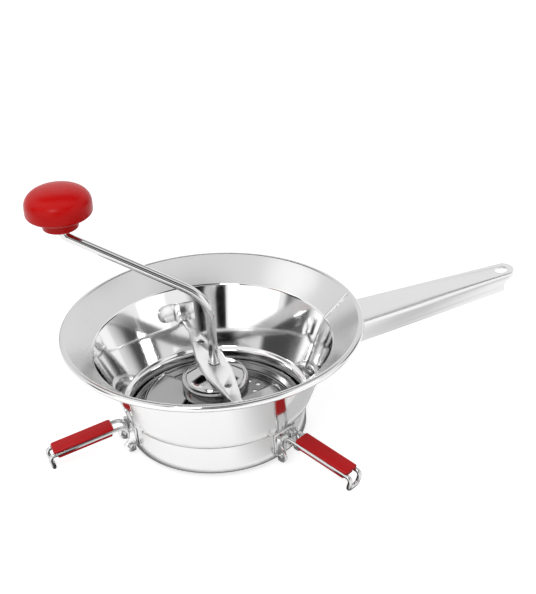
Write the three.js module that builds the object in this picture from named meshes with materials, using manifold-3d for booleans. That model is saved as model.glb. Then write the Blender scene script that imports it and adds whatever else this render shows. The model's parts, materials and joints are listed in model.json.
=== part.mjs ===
// A hand-cranked food mill: a flared sheet-steel bowl on three folding wire feet, with a channel
// handle, a perforated disc, a pressing blade, and a bent crank held down by a sprung bridge.
// Units are millimetres, +Z is up. The crank's axis is the model's own Z axis until the last
// lines, which put the origin under the middle of the whole part. The handle points along +X.

import * as THREE from 'three';
import { mergeVertices } from 'three/addons/utils/BufferGeometryUtils.js';
import Module from 'manifold-3d';

const wasm = await Module();
wasm.setup();

// Clearances
const seat = 0.3;               // between pieces that rest on each other
const running = 0.4;            // round pieces that turn or swing
const overrun = 2;              // how far a cutting tool passes the faces it cuts

// Bowl, heights measured from its bottom edge
const standHeight = 5;          // bottom edge above the table
const bowlSheet = 0.8;
const rimRadius = 120;
const rimLift = 91.5;           // middle of the rolled rim
const beadRadius = 2.9;
const beadSteps = 7;
const beadTurnDegrees = 285;
const creaseRadius = 95.7;      // where the cone turns into the flared lip
const creaseLift = 76;
const ledgeRadius = 75;         // foot of the cone
const ledgeLift = 27;
const lowerRadius = 71.6;       // the short cylinder that holds the disc
const ledgeDrop = 3.2;          // height of the step between the two
const ledgeBendShare = 0.3;     // how much of the step each of its bends takes
const flangeReach = 5.6;        // inward flange under the disc
const bowlCorner = 1.6;
const bowlSides = 48;

// Channel handle, its top plate rises away from the bowl
const handleReach = 263.6;      // tip, from the crank's axis
const handleRootLift = 76;      // top plate where it passes the rim
const handleRise = 9.6;         // from the rim to the tip
const handleRootWidth = 36.8;
const handleTipWidth = 21.2;
const handleRootDepth = 18.3;
const handleTipDepth = 14.2;
const handleSheet = 1.2;
const handleCorner = 1.5;
const handleHole = 10.5;
const handleSkirtCut = 12.4;    // how far before the tip the side walls stop
const handleLipDepth = 5;       // what is left of them round the tip
const handleTabReach = 11;      // welded tabs that lie on the cone
const handleTabHeight = 13;
const handleTabDrop = 3.6;      // top of the tabs below the top plate

// Clips on the wall, which hold the bridge's ends down
const clipLift = 53;            // lower edge
const clipHeight = 13;
const clipSheet = 1.1;
const clipStandoff = 4.4;       // how far the loop stands off the wall
const clipValley = 1.3;         // depth of its pressed groove
const clipTabLength = 14;
const clipLoopLength = 17.5;

// Bridge across the bowl
const bridgeLift = 57;          // its top face
const bridgeSheet = 1.5;
const bridgeWidth = 22.4;
const bridgeEndWidth = 5.6;
const bridgeShoulder = 13;      // half length of the widest stretch
const bridgeChannelHalf = 52;   // half length of the flanged stretch
const bridgeNeckWidth = 10.4;   // width where the flanges end
const bridgeFlange = 4.2;
const bridgeKneeRun = 20;       // length of the slope down to each end
const bridgeHole = 6.2;
const bridgeHoleReach = 36;

// Crank rod
const rodDiameter = 7.5;
const crankReach = 113.8;       // knob's axis, from the crank's axis
const crankElbowLift = 116.2;   // where the upright and the arm would meet
const crankKnobLift = 166.4;    // where the arm and the knob's axis would meet
const crankBend = 30;
const crankKnobBend = 9;        // the tighter bend under the knob
const crankBendSteps = 10;
const crankBearingDegrees = 150;
const rodSides = 10;
const rodEarSpan = 10.2;        // the two swaged ears that rest on the bridge
const rodEarWidth = 4.4;
const rodEarHeight = 4;
const rodTail = 3.2;            // rod's end above the bowl's bottom edge

// Knob, which turns on the end of the rod
const knobRadius = 26.5;
const knobStandoff = 6.8;       // its foot above the point where arm and axis would meet
const knobNeckRadius = 14.3;
const knobNeckHeight = 10.8;
const knobFootRound = 1;
const knobRound = 3.2;          // lower edge of the cap
const knobSide = 4.8;           // upright part of the cap's side
const knobDome = 14.7;
const knobFullness = 2.4;       // how square the dome's shoulder is; 2 is an ellipse
const knobSides = 32;
const knobDomeSteps = 9;
const rodDepth = 22;            // how far the rod reaches into the knob

// Perforated disc, heights from the bowl's bottom edge
const discSheet = 0.9;
const discRimLift = 18.2;       // top of the pressed rim
const discFaceLift = 10.4;      // top of the perforated face
const discRimWidth = 9.4;       // the stepped ring inside the rim
const discTopWidth = 2.2;       // flat crest of the rim
const discHole = 4.2;
const discHolePitch = 9;
const discFirstRing = 15;
const discHoleMargin = 2.6;
const discBore = 9.6;
const discSides = 40;
const discHoleSides = 6;

// Pressing blade
const bladeSheet = 1.2;
const bladeBossRadius = 12.5;
const bladeBossHeight = 14;
const bladeRise = 12;           // from its pressing edge to its lifted edge
const bladeMargin = 1;          // between its outer edge and the disc's stepped ring
const bladeLip = 2.6;           // upturned outer edge
const bladeHubFlat = 2.9;       // half width of the rod's flats, which turn the blade
const bladeStartDegrees = -32;  // its lifted edge, from the crank's arm
const bladeSweepDegrees = 262;
const bladeSteps = 20;
const bladeBossSides = 28;
const nutDiameter = 13;
const nutHeight = 4;
const nutSides = 6;

// Spring and its cover
const springDiameter = 18;      // mean
const springWire = 2.2;
const springCoils = 5;
const springStepsPerCoil = 8;
const springWireSides = 5;
const coverRadius = 27;
const coverHeight = 19.5;
const coverCrownRadius = 13;
const coverCorner = 6;
const coverSheet = 0.9;
const coverSides = 28;
const spacerRadius = 8.6;       // ring between the cover and the bridge

// Folding feet
const leftFootDegrees = 180;
const rightFootDegrees = 300;
const backFootDegrees = 60;
const wireDiameter = 3.5;
const wireSides = 6;
const wireBend = 3.6;
const wireArch = 7;             // the wider bend over the bracket
const wireBendSteps = 4;
const wireSpacing = 11.6;       // between the two runs of one foot
const bracketSheet = 1.5;
const bracketSteps = 4;
const earCurveSteps = 6;
const bracketWidth = 25;
const bracketHeight = 18;
const bracketDrop = 1.4;        // top of the bracket below the bowl's ledge step
const earSpacing = 19.4;
const earNeck = 2.4;            // how far an ear stands off at the bracket's upper edge
const earRadius = 5.8;
const pivotStandoff = 2.1;      // from the bracket's face to the pivot
const pivotLift = 4.5;
const pinOverhang = 1.6;
const gripRun = 12.5;           // pivot to the grip's near end
const gripLift = 18.5;          // pivot to the grip's upper face there
const gripLength = 50.5;
const gripTiltDegrees = 11.3;
const gripWidth = 14.5;
const gripHeight = 7.8;
const gripTopFlange = 1.9;
const gripLowFlange = 1.5;
const gripLowWidth = 12.6;
const gripCorner = 0.9;
const gripEndRound = 1.6;       // corner radius of its flanges, seen from above
const gripLowSetback = 2.2;     // how much shorter the lower flange is at each end
const hookRun = 4.2;            // past the grip before the wire turns down
const hookReturn = 4;           // how far the loop comes back under itself
const stopGap = 0.35;           // leg to bracket, what stops the foot when it is spread

// Colours
const steelColour = 0xc9ccd0;
const satinColour = 0xd3d5d8;
const wireColour = 0xbfc2c6;
const knobColour = 0xc81a18;
const gripColour = 0xaf2628;

const degrees = THREE.MathUtils.degToRad;
const halfTurn = Math.PI;
const fullTurn = 2 * Math.PI;

// Geometry helpers

function signedVolume(geometry) {
  const position = geometry.attributes.position;
  const index = geometry.index;
  const a = new THREE.Vector3();
  const b = new THREE.Vector3();
  const c = new THREE.Vector3();
  let sum = 0;
  for (let i = 0; i < index.count; i += 3) {
    a.fromBufferAttribute(position, index.getX(i));
    b.fromBufferAttribute(position, index.getX(i + 1));
    c.fromBufferAttribute(position, index.getX(i + 2));
    sum += a.dot(b.cross(c));
  }
  return sum;
}

// Merges shared vertices, drops collapsed triangles and turns every face outwards.
function closed(geometry) {
  const bare = geometry.clone();
  bare.deleteAttribute('normal');
  bare.deleteAttribute('uv');
  const merged = mergeVertices(bare);
  const kept = [];
  const index = merged.index;
  for (let i = 0; i < index.count; i += 3) {
    const [a, b, c] = [index.getX(i), index.getX(i + 1), index.getX(i + 2)];
    if (a !== b && b !== c && c !== a) kept.push(a, b, c);
  }
  merged.setIndex(kept);
  if (signedVolume(merged) < 0) {
    for (let i = 0; i < kept.length; i += 3) [kept[i + 1], kept[i + 2]] = [kept[i + 2], kept[i + 1]];
    merged.setIndex(kept);
  }
  return merged;
}

function solid(geometry) {
  const merged = closed(geometry);
  return new wasm.Manifold(new wasm.Mesh({
    numProp: 3,
    vertProperties: new Float32Array(merged.attributes.position.array),
    triVerts: new Uint32Array(merged.index.array),
  }));
}

function surface(manifold) {
  const mesh = manifold.getMesh();
  const geometry = new THREE.BufferGeometry();
  const points = new Float32Array(mesh.numVert * 3);
  for (let i = 0; i < mesh.numVert; i += 1) {
    for (let axis = 0; axis < 3; axis += 1) {
      points[i * 3 + axis] = mesh.vertProperties[i * mesh.numProp + axis];
    }
  }
  geometry.setAttribute('position', new THREE.BufferAttribute(points, 3));
  geometry.setIndex(new THREE.BufferAttribute(new Uint32Array(mesh.triVerts), 1));
  return geometry;
}

// Turns a closed outline of [radius, height] points round the Z axis.
function turned(outline, sides) {
  const points = outline.map(([radius, height]) => new THREE.Vector2(radius, height));
  points.push(points[0].clone());
  const geometry = new THREE.LatheGeometry(points, sides);
  geometry.rotateX(halfTurn / 2);
  return closed(geometry);
}

// A plain cylinder or ring on the Z axis, from one height to another.
function ring(inner, outer, low, high, sides) {
  return turned([[inner, low], [outer, low], [outer, high], [inner, high]], sides);
}

function post(radius, low, high, sides) {
  const geometry = new THREE.CylinderGeometry(radius, radius, high - low, sides);
  geometry.rotateX(halfTurn / 2);
  geometry.translate(0, 0, (low + high) / 2);
  return geometry;
}

// The two skins of a sheet that follows a path of 2D points, as a pair of points for each of them.
function sheetSkins(path, thickness) {
  return path.map(([x, y], i) => {
    const before = path[Math.max(i - 1, 0)];
    const after = path[Math.min(i + 1, path.length - 1)];
    const arrive = new THREE.Vector2(x - before[0], y - before[1]);
    const leave = new THREE.Vector2(after[0] - x, after[1] - y);
    if (i === 0) arrive.copy(leave);
    if (i === path.length - 1) leave.copy(arrive);
    arrive.normalize();
    leave.normalize();
    const normal = new THREE.Vector2(-arrive.y - leave.y, arrive.x + leave.x).normalize();
    const stretch = thickness / 2 / (normal.x * -arrive.y + normal.y * arrive.x);
    return [
      [x + normal.x * stretch, y + normal.y * stretch],
      [x - normal.x * stretch, y - normal.y * stretch],
    ];
  });
}

// The closed outline of such a sheet.
function sheetOutline(path, thickness) {
  const skins = sheetSkins(path, thickness);
  return [...skins.map(([left]) => left), ...skins.map(([, right]) => right).reverse()];
}

// Points of an arc round [x, y], in the plane of a profile.
function arcPoints([x, y], radius, startAngle, turn, steps) {
  return Array.from({ length: steps + 1 }, (_, i) => {
    const angle = startAngle + turn * i / steps;
    return [x + radius * Math.cos(angle), y + radius * Math.sin(angle)];
  });
}

// Joins sections of equal point count, all anticlockwise, into one closed body. place(i, point)
// puts a point of section i in space. The first and last sections are closed with flat caps,
// which are cut up as they look in the two given axes of their points.
function loft(sections, place, capAxes = [0, 1]) {
  const count = sections[0].length;
  const positions = [];
  const faces = [];
  sections.forEach((section, i) => {
    section.forEach((point) => positions.push(...place(i, point)));
  });
  for (let i = 0; i < sections.length - 1; i += 1) {
    for (let j = 0; j < count; j += 1) {
      const k = (j + 1) % count;
      const [a, b] = [i * count + j, i * count + k];
      faces.push(a, b, b + count, a, b + count, a + count);
    }
  }
  const capOf = (section) => THREE.ShapeUtils.triangulateShape(
    section.map((point) => new THREE.Vector2(point[capAxes[0]], point[capAxes[1]])), []);
  const last = (sections.length - 1) * count;
  for (const [a, b, c] of capOf(sections[0])) faces.push(c, b, a);
  for (const [a, b, c] of capOf(sections[sections.length - 1])) faces.push(last + a, last + b, last + c);
  const geometry = new THREE.BufferGeometry();
  geometry.setAttribute('position', new THREE.Float32BufferAttribute(positions, 3));
  geometry.setIndex(faces);
  return closed(geometry);
}

// A path through ready-made points, each with its own direction, so that straight runs cost one
// step and bends get several.
class SampledPath extends THREE.Curve {
  constructor(samples, tangents) {
    super();
    this.samples = samples;
    this.tangents = tangents;
    this.steps = samples.length - 1;
  }

  getPointAt(u) {
    return this.samples[Math.round(u * this.steps)].clone();
  }

  getTangentAt(u) {
    return this.tangents[Math.round(u * this.steps)].clone();
  }
}

// The middle line of a rod bent at its corners, as on a bending jig. There is one bend radius for
// each corner between the two ends.
function bentPath(corners, bendRadii, stepsPerBend) {
  const samples = [];
  const tangents = [];
  const last = corners.length - 1;
  corners.forEach((corner, i) => {
    if (i === 0 || i === last) {
      const [from, to] = i === 0 ? [corner, corners[1]] : [corners[last - 1], corner];
      samples.push(corner.clone());
      tangents.push(to.clone().sub(from).normalize());
      return;
    }
    const arrive = corner.clone().sub(corners[i - 1]).normalize();
    const leave = corners[i + 1].clone().sub(corner).normalize();
    const turn = arrive.angleTo(leave);
    const bendRadius = bendRadii[i - 1];
    const setback = bendRadius * Math.tan(turn / 2);
    const start = corner.clone().addScaledVector(arrive, -setback);
    const inward = leave.clone().addScaledVector(arrive, -leave.dot(arrive)).normalize();
    const centre = start.clone().addScaledVector(inward, bendRadius);
    for (let step = 0; step <= stepsPerBend; step += 1) {
      const angle = turn * step / stepsPerBend;
      samples.push(centre.clone()
        .addScaledVector(inward, -bendRadius * Math.cos(angle))
        .addScaledVector(arrive, bendRadius * Math.sin(angle)));
      tangents.push(arrive.clone().multiplyScalar(Math.cos(angle))
        .addScaledVector(inward, Math.sin(angle)).normalize());
    }
  });
  return new SampledPath(samples, tangents);
}

function circleShape(radius, sides) {
  const points = Array.from({ length: sides }, (_, i) => new THREE.Vector2(
    radius * Math.cos(fullTurn * i / sides), radius * Math.sin(fullTurn * i / sides)));
  return new THREE.Shape(points);
}

function roundBar(path, diameter, sides) {
  return closed(new THREE.ExtrudeGeometry(circleShape(diameter / 2, sides), {
    steps: path.steps,
    bevelEnabled: false,
    extrudePath: path,
  }));
}

// A flat shape in the XZ plane, given thickness along Y about the middle.
function upright(shape, thickness, curveSegments) {
  const geometry = new THREE.ExtrudeGeometry(shape, { depth: thickness, bevelEnabled: false, curveSegments });
  geometry.translate(0, 0, -thickness / 2);
  geometry.rotateX(halfTurn / 2);
  return geometry;
}

// A strip of sheet that lies along a round wall. Each station has an angle, its gap to the wall
// and its lower and upper edges; side is 1 outside the wall and -1 inside it.
function wallStrip(stations, wallRadiusAt, thickness, side) {
  const sections = stations.map(({ gap, low, high }) => [
    [wallRadiusAt(low) + side * gap, low],
    [wallRadiusAt(low) + side * (gap + thickness), low],
    [wallRadiusAt(high) + side * (gap + thickness), high],
    [wallRadiusAt(high) + side * gap, high],
  ]);
  return loft(sections, (i, [radius, height]) => [
    radius * Math.cos(stations[i].angle), radius * Math.sin(stations[i].angle), height]);
}

// Bowl

const bowlBase = standHeight;
const shoulderLift = ledgeLift - ledgeDrop;

// Outer radius of the cone at a height.
function coneRadius(height) {
  const share = (height - bowlBase - ledgeLift) / (creaseLift - ledgeLift);
  return ledgeRadius + share * (creaseRadius - ledgeRadius);
}

// The sheet's middle line from the inward flange up to the end of the rolled rim.
function bowlPath() {
  const half = bowlSheet / 2;
  const wall = lowerRadius - half;
  const floor = bowlBase + half;
  const beadCentre = [rimRadius - beadRadius, bowlBase + rimLift];
  const rollRadius = beadRadius - half;
  const crease = [creaseRadius - half, bowlBase + creaseLift];
  const dx = beadCentre[0] - crease[0];
  const dy = beadCentre[1] - crease[1];
  const toBead = Math.atan2(dy, dx);
  const spread = Math.asin(rollRadius / Math.hypot(dx, dy));
  const tangentAngle = toBead + spread + halfTurn / 2;
  const corner = arcPoints([wall - bowlCorner, floor + bowlCorner], bowlCorner, -halfTurn / 2, halfTurn / 2, 3);
  const bead = arcPoints(beadCentre, rollRadius, tangentAngle, -degrees(beadTurnDegrees), beadSteps);
  const stepIn = ledgeDrop * ledgeBendShare;
  const coneFoot = bowlBase + ledgeLift + stepIn;
  return [
    [lowerRadius - flangeReach, floor],
    ...corner,
    [wall, bowlBase + shoulderLift],
    [wall + stepIn, bowlBase + ledgeLift - stepIn],
    [ledgeRadius - half - stepIn, bowlBase + ledgeLift - stepIn / 2],
    [coneRadius(coneFoot) - half, coneFoot],
    crease,
    ...bead,
  ];
}

function makeBowl() {
  return turned(sheetOutline(bowlPath(), bowlSheet), bowlSides);
}

// Everything inside the bowl's outer skin, grown by the seat clearance, to trim the handle with.
function bowlEnvelope() {
  const grow = seat;
  const top = bowlBase + rimLift + beadRadius + overrun;
  return turned([
    [0, bowlBase - overrun],
    [lowerRadius + grow, bowlBase - overrun],
    [lowerRadius + grow, bowlBase + shoulderLift],
    [ledgeRadius + grow, bowlBase + ledgeLift - grow],
    [creaseRadius + grow, bowlBase + creaseLift - grow],
    [rimRadius, bowlBase + rimLift - beadRadius - grow],
    [rimRadius + overrun, top],
    [0, top],
  ], bowlSides);
}

// Handle

const handleHoleReach = handleReach - handleTipWidth / 2;

function alongHandle(x, atRim, atTip) {
  return atRim + (atTip - atRim) * (x - rimRadius) / (handleHoleReach - rimRadius);
}

function handleTop(x) {
  return bowlBase + handleRootLift + handleRise * (x - rimRadius) / (handleReach - rimRadius);
}

// A solid bar with the handle's taper, drawn in on every side but below by an inset.
function handleBar(inset) {
  const ends = [ledgeRadius, handleReach + overrun];
  const sections = ends.map((x) => {
    const half = alongHandle(x, handleRootWidth, handleTipWidth) / 2 - inset;
    const top = handleTop(x) - inset;
    const low = handleTop(x) - alongHandle(x, handleRootDepth, handleTipDepth) - (inset > 0 ? overrun : 0);
    const radius = handleCorner - inset;
    const right = arcPoints([half - radius, top - radius], radius, 0, halfTurn / 2, 4);
    const left = right.map(([y, z]) => [-y, z]).reverse();
    return [[half, low], ...right, ...left, [-half, low]];
  });
  const bar = solid(loft(sections, (i, [y, z]) => [ends[i], y, z]));
  return bar.intersect(solid(handlePlan(inset)));
}

// The handle seen from above: straight sides wider than the bar, and a round end.
function handlePlan(inset) {
  const wide = handleRootWidth;
  const radius = handleTipWidth / 2 - inset;
  const shape = new THREE.Shape();
  shape.moveTo(0, -wide);
  shape.lineTo(handleHoleReach, -wide);
  shape.lineTo(handleHoleReach, -radius);
  shape.absarc(handleHoleReach, 0, radius, -halfTurn / 2, halfTurn / 2, false);
  shape.lineTo(handleHoleReach, wide);
  shape.lineTo(0, wide);
  const depth = bowlBase + rimLift + rimRadius;
  return new THREE.ExtrudeGeometry(shape, { depth, bevelEnabled: false, curveSegments: 10 });
}

// What is cut from the side walls near the tip, in a sweeping curve.
function handleSkirtCutter() {
  const start = handleReach - handleSkirtCut;
  const bottom = handleTop(start) - handleRootDepth - overrun;
  const lip = (x) => handleTop(x) - handleLipDepth;
  const shape = new THREE.Shape();
  shape.moveTo(start, bottom);
  shape.lineTo(handleReach + overrun, bottom);
  shape.lineTo(handleReach + overrun, lip(handleReach));
  shape.lineTo(start + handleSkirtCut / 2, lip(handleReach));
  shape.quadraticCurveTo(start, lip(start), start, lip(start) - handleLipDepth);
  return solid(upright(shape, handleRootWidth, 5));
}

function handleTab(side) {
  const high = handleTop(creaseRadius) - handleTabDrop;
  const low = high - handleTabHeight;
  const wall = coneRadius((low + high) / 2);
  const inner = Math.asin((alongHandle(wall, handleRootWidth, handleTipWidth) / 2 - handleSheet) / wall);
  const sweep = (handleSheet + handleTabReach) / wall;
  const steps = 3;
  const stations = Array.from({ length: steps + 1 }, (_, i) => ({
    angle: side * (inner + sweep * i / steps), gap: seat, low, high,
  }));
  return solid(wallStrip(stations, coneRadius, handleSheet, 1));
}

function makeHandle() {
  const hole = new THREE.Matrix4().makeTranslation(handleHoleReach, 0, 0);
  const holeCutter = post(handleHole / 2, 0, handleTop(handleReach) + overrun, 20).applyMatrix4(hole);
  const channel = handleBar(0)
    .subtract(handleBar(handleSheet))
    .subtract(handleSkirtCutter())
    .subtract(solid(bowlEnvelope()))
    .subtract(solid(holeCutter));
  return surface(channel.add(handleTab(1)).add(handleTab(-1)));
}

// Clips

// Inner radius of the cone at a height.
function coneInnerRadius(height) {
  const lean = Math.atan((creaseRadius - ledgeRadius) / (creaseLift - ledgeLift));
  return coneRadius(height) - bowlSheet / 2 - bowlSheet / 2 / Math.cos(lean);
}

// Along the loop from its free end to its foot: share of its length, share of its standoff.
const clipLoopShares = [[0, 1.04], [0.27, 1.04], [0.54, 1]];
const clipFoldShares = [[0.7, 0], [0.86, 1], [0.97, 1]];
const clipFreeShare = 0.55;     // part of the loop on the free side of the bridge's end
const clipRoundDegrees = [0, 30, 55, 75];

// A strip spot-welded to the wall by its round tab, then stepped out into a loop with a groove.
function makeClip() {
  const low = bowlBase + clipLift;
  const middle = low + clipHeight / 2;
  const radius = clipHeight / 2;
  const wall = coneInnerRadius(middle);
  const start = -clipFreeShare * clipLoopLength;
  const foot = start + clipLoopLength;
  const tabEnd = foot + clipTabLength;
  const flat = seat + clipSheet / 2;
  const high = clipStandoff - clipSheet / 2;
  const roundStart = tabEnd - radius;
  const path = [
    ...clipLoopShares.map(([run, rise]) => [start + run * clipLoopLength, rise * high]),
    [start + clipFoldShares[0][0] * clipLoopLength, high - clipValley],
    ...clipFoldShares.slice(1).map(([run, rise]) => [start + run * clipLoopLength, rise * high]),
    [foot, flat],
    [(foot + roundStart) / 2, flat],
    ...clipRoundDegrees.map((turn) => [roundStart + radius * Math.sin(degrees(turn)), flat]),
  ];
  const halfHeightAt = (run) => {
    const past = Math.max(run - roundStart, 0) / radius;
    return radius * Math.sqrt(1 - past * past);
  };
  const sections = sheetSkins(path, clipSheet).map(([front, rear]) => [
    [...rear, -1], [...front, -1], [...front, 1], [...rear, 1]]);
  return loft(sections, (i, [run, gap, edge]) => {
    const height = middle + edge * halfHeightAt(run);
    const reach = coneInnerRadius(height) - gap;
    return [reach * Math.cos(run / wall), reach * Math.sin(run / wall), height];
  }, [1, 2]);
}

// Bridge

const bridgeTop = bowlBase + bridgeLift;
const bridgeUnderside = bridgeTop - bridgeSheet;
const tongueTop = bowlBase + clipLift - running;
const tongueEnd = coneInnerRadius(tongueTop - bridgeSheet) - 3 * running;
const bridgeFlangeEndShare = 0.55;

function bridgeWidthAt(y) {
  const past = Math.max(Math.abs(y) - bridgeShoulder, 0) / (bridgeChannelHalf - bridgeShoulder);
  return bridgeWidth + (bridgeNeckWidth - bridgeWidth) * past;
}

// The stiff middle of the bridge: a shallow channel, flanges down.
function bridgeChannel() {
  const stations = [-bridgeChannelHalf, -bridgeShoulder, bridgeShoulder, bridgeChannelHalf];
  const chamfer = bridgeSheet / 2;
  const sections = stations.map((y) => {
    const half = bridgeWidthAt(y) / 2;
    const depthShare = Math.abs(y) > bridgeShoulder ? bridgeFlangeEndShare : 1;
    const low = bridgeTop - bridgeFlange * depthShare;
    const inner = half - bridgeSheet;
    return [
      [half, low], [half, bridgeTop - chamfer], [half - chamfer, bridgeTop],
      [chamfer - half, bridgeTop], [-half, bridgeTop - chamfer], [-half, low],
      [-inner, low], [-inner, bridgeUnderside], [inner, bridgeUnderside], [inner, low],
    ];
  });
  return solid(loft(sections, (i, [x, z]) => [x, stations[i], z]));
}

// The flat ends, which step down to pass under the clips.
function bridgeTongue(side) {
  const kneeEnd = bridgeChannelHalf + bridgeKneeRun;
  const tip = tongueEnd - bridgeEndWidth / 2;
  const stations = [
    [bridgeChannelHalf - bridgeSheet, bridgeTop, bridgeNeckWidth - 2 * bridgeSheet],
    [bridgeChannelHalf, bridgeTop, bridgeNeckWidth - bridgeSheet],
    [kneeEnd, tongueTop, bridgeEndWidth],
    [tip, tongueTop, bridgeEndWidth],
    [tongueEnd, tongueTop, bridgeEndWidth / 2],
  ];
  const sections = stations.map(([, top, width]) => [
    [width / 2, top - bridgeSheet], [width / 2, top], [-width / 2, top], [-width / 2, top - bridgeSheet]]);
  return solid(loft(sections, (i, [x, z]) => [x, side * stations[i][0], z]));
}

function makeBridge() {
  const low = tongueTop - bridgeSheet - overrun;
  const high = bridgeTop + overrun;
  let plate = bridgeChannel().add(bridgeTongue(1)).add(bridgeTongue(-1));
  plate = plate.subtract(solid(post(rodDiameter / 2 + running, low, high, 24)));
  for (const side of [-1, 1]) {
    const cutter = post(bridgeHole / 2, low, high, 16);
    cutter.translate(0, side * bridgeHoleReach, 0);
    plate = plate.subtract(solid(cutter));
  }
  return surface(plate);
}

// Heights of the disc and the blade, which also place the flats on the rod
const discFace = bowlBase + discFaceLift;
const bladeBase = discFace + running;
const bladeBossTop = bladeBase + bladeBossHeight;

// Crank, drawn with its arm along +X and then turned to its bearing

const crankKnobHeight = bowlBase + crankKnobLift;
const knobBase = crankKnobHeight + knobStandoff;
const rodTop = knobBase + rodDepth;

function makeRod() {
  const corners = [
    new THREE.Vector3(0, 0, bowlBase + rodTail),
    new THREE.Vector3(0, 0, bowlBase + crankElbowLift),
    new THREE.Vector3(crankReach, 0, crankKnobHeight),
    new THREE.Vector3(crankReach, 0, rodTop),
  ];
  const path = bentPath(corners, [crankBend, crankKnobBend], crankBendSteps);
  return surface(solid(roundBar(path, rodDiameter, rodSides))
    .subtract(hubFlat(1))
    .subtract(hubFlat(-1))
    .add(rodEars()));
}

// Two ears swaged out of the rod, flat below where they rest on the bridge.
function rodEars() {
  const low = bridgeTop + seat;
  const halfWidth = rodEarWidth / 2;
  const stations = [[low, rodEarSpan / 2], [low + rodEarHeight / 2, rodEarSpan / 2],
    [low + rodEarHeight, rodDiameter / 2]];
  const sections = stations.map(([, reach]) => [
    [-reach, -halfWidth], [reach, -halfWidth], [reach, halfWidth], [-reach, halfWidth]]);
  return solid(loft(sections, (i, [x, y]) => [x, y, stations[i][0]]));
}

// What is milled from one side of the rod where the blade's hub sits.
function hubFlat(side) {
  const low = bladeBossTop - bladeSheet - 2 * seat;
  const high = bladeBossTop + seat;
  const depth = rodDiameter / 2 - bladeHubFlat + overrun;
  const cutter = new THREE.BoxGeometry(rodDiameter + overrun, depth, high - low);
  cutter.translate(0, side * (bladeHubFlat + depth / 2), (low + high) / 2);
  return solid(cutter);
}

// A mushroom knob: a short neck, an undercut cap with upright sides and a full dome.
function makeKnob() {
  const bore = rodDiameter / 2 + running;
  const boreTop = rodTop + running;
  const capLow = knobBase + knobNeckHeight;
  const shoulder = capLow + knobRound + knobSide;
  const dome = Array.from({ length: knobDomeSteps }, (_, i) => {
    const angle = halfTurn / 2 * i / knobDomeSteps;
    const across = Math.cos(angle) ** (2 / knobFullness);
    const up = Math.sin(angle) ** (2 / knobFullness);
    return [knobRadius * across, shoulder + knobDome * up];
  });
  const lip = arcPoints([knobRadius - knobRound, capLow + knobRound], knobRound, -halfTurn / 2, halfTurn / 2, 4);
  return turned([
    [0, boreTop], [bore, boreTop], [bore, knobBase],
    [knobNeckRadius - knobFootRound, knobBase], [knobNeckRadius, knobBase + knobFootRound],
    [knobNeckRadius, capLow],
    ...lip, ...dome,
    [0, shoulder + knobDome],
  ], knobSides);
}

// Disc

const discRadius = lowerRadius - bowlCorner - running;
const discFaceRadius = discRadius - discRimWidth;

// Pressed from one sheet: an outer skirt, a raised rim, a stepped ring and the perforated face.
function makeDisc() {
  const half = discSheet / 2;
  const skirt = discRadius - half;
  const foot = bowlBase + bowlSheet + seat;
  const crest = bowlBase + discRimLift - half;
  const face = discFace - half;
  const round = discTopWidth / 2;
  const innerCrest = discRadius - 2 * round - discTopWidth;
  const step = (crest + face) / 2;
  const stepRadius = (innerCrest + discFaceRadius) / 2;
  const path = [
    [skirt, foot], [skirt, crest - round],
    [skirt - round, crest], [innerCrest, crest],
    [stepRadius + round, step], [stepRadius - round, step],
    [discFaceRadius, face], [discBore / 2, face],
  ];
  const blank = solid(turned(sheetOutline(path, discSheet), discSides));
  return surface(blank.subtract(wasm.Manifold.compose(discPunches())));
}

// Rings of round holes, as many on each ring as the pitch allows.
function discPunches() {
  const punches = [];
  const low = discFace - discSheet - overrun;
  const high = discFace + overrun;
  const last = discFaceRadius - discHoleMargin - discHole / 2;
  for (let radius = discFirstRing; radius <= last; radius += discHolePitch) {
    const count = Math.floor(fullTurn * radius / discHolePitch);
    for (let i = 0; i < count; i += 1) {
      const angle = fullTurn * i / count;
      const punch = post(discHole / 2, low, high, discHoleSides);
      punch.translate(radius * Math.cos(angle), radius * Math.sin(angle), 0);
      punches.push(solid(punch));
    }
  }
  return punches;
}

// Blade

// A hollow boss with a hub plate, and a wing that winds down round it like one turn of a screw.
function makeBlade() {
  const outer = bladeBossRadius;
  const inner = outer - bladeSheet;
  const roof = bladeBossTop - bladeSheet;
  const bore = new THREE.Shape().absarc(0, 0, rodDiameter / 2 + seat, 0, fullTurn, false);
  const hub = new THREE.ExtrudeGeometry(bore, {
    depth: bladeSheet + 2 * overrun, bevelEnabled: false, curveSegments: rodSides,
  });
  hub.translate(0, 0, roof - overrun);
  const flats = new THREE.BoxGeometry(outer, 2 * (bladeHubFlat + seat), bladeBossHeight);
  flats.translate(0, 0, roof);
  const boss = turned([
    [0, roof], [inner, roof], [inner, bladeBase], [outer, bladeBase],
    [outer, bladeBossTop - bladeSheet / 2], [outer - bladeSheet / 2, bladeBossTop], [0, bladeBossTop],
  ], bladeBossSides);
  const opening = solid(hub).intersect(solid(flats));
  const core = solid(post(inner, bladeBase - overrun, roof, bladeBossSides));
  return surface(solid(boss).add(bladeWing().subtract(core)).subtract(opening));
}

function bladeWing() {
  const outer = discFaceRadius - bladeMargin;
  const inner = bladeBossRadius - bladeSheet / 2;
  const start = degrees(bladeStartDegrees);
  const sweep = degrees(bladeSweepDegrees);
  const angles = Array.from({ length: bladeSteps + 1 }, (_, i) => start + sweep * i / bladeSteps);
  const sections = angles.map((_, i) => {
    const low = bladeBase + bladeRise * (1 - i / bladeSteps);
    const high = low + bladeSheet;
    return [
      [inner, low], [outer, low], [outer, low + bladeLip],
      [outer - bladeSheet, low + bladeLip], [outer - bladeSheet, high], [inner, high],
    ];
  });
  return solid(loft(sections, (i, [radius, height]) => [
    radius * Math.cos(angles[i]), radius * Math.sin(angles[i]), height]));
}

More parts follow.
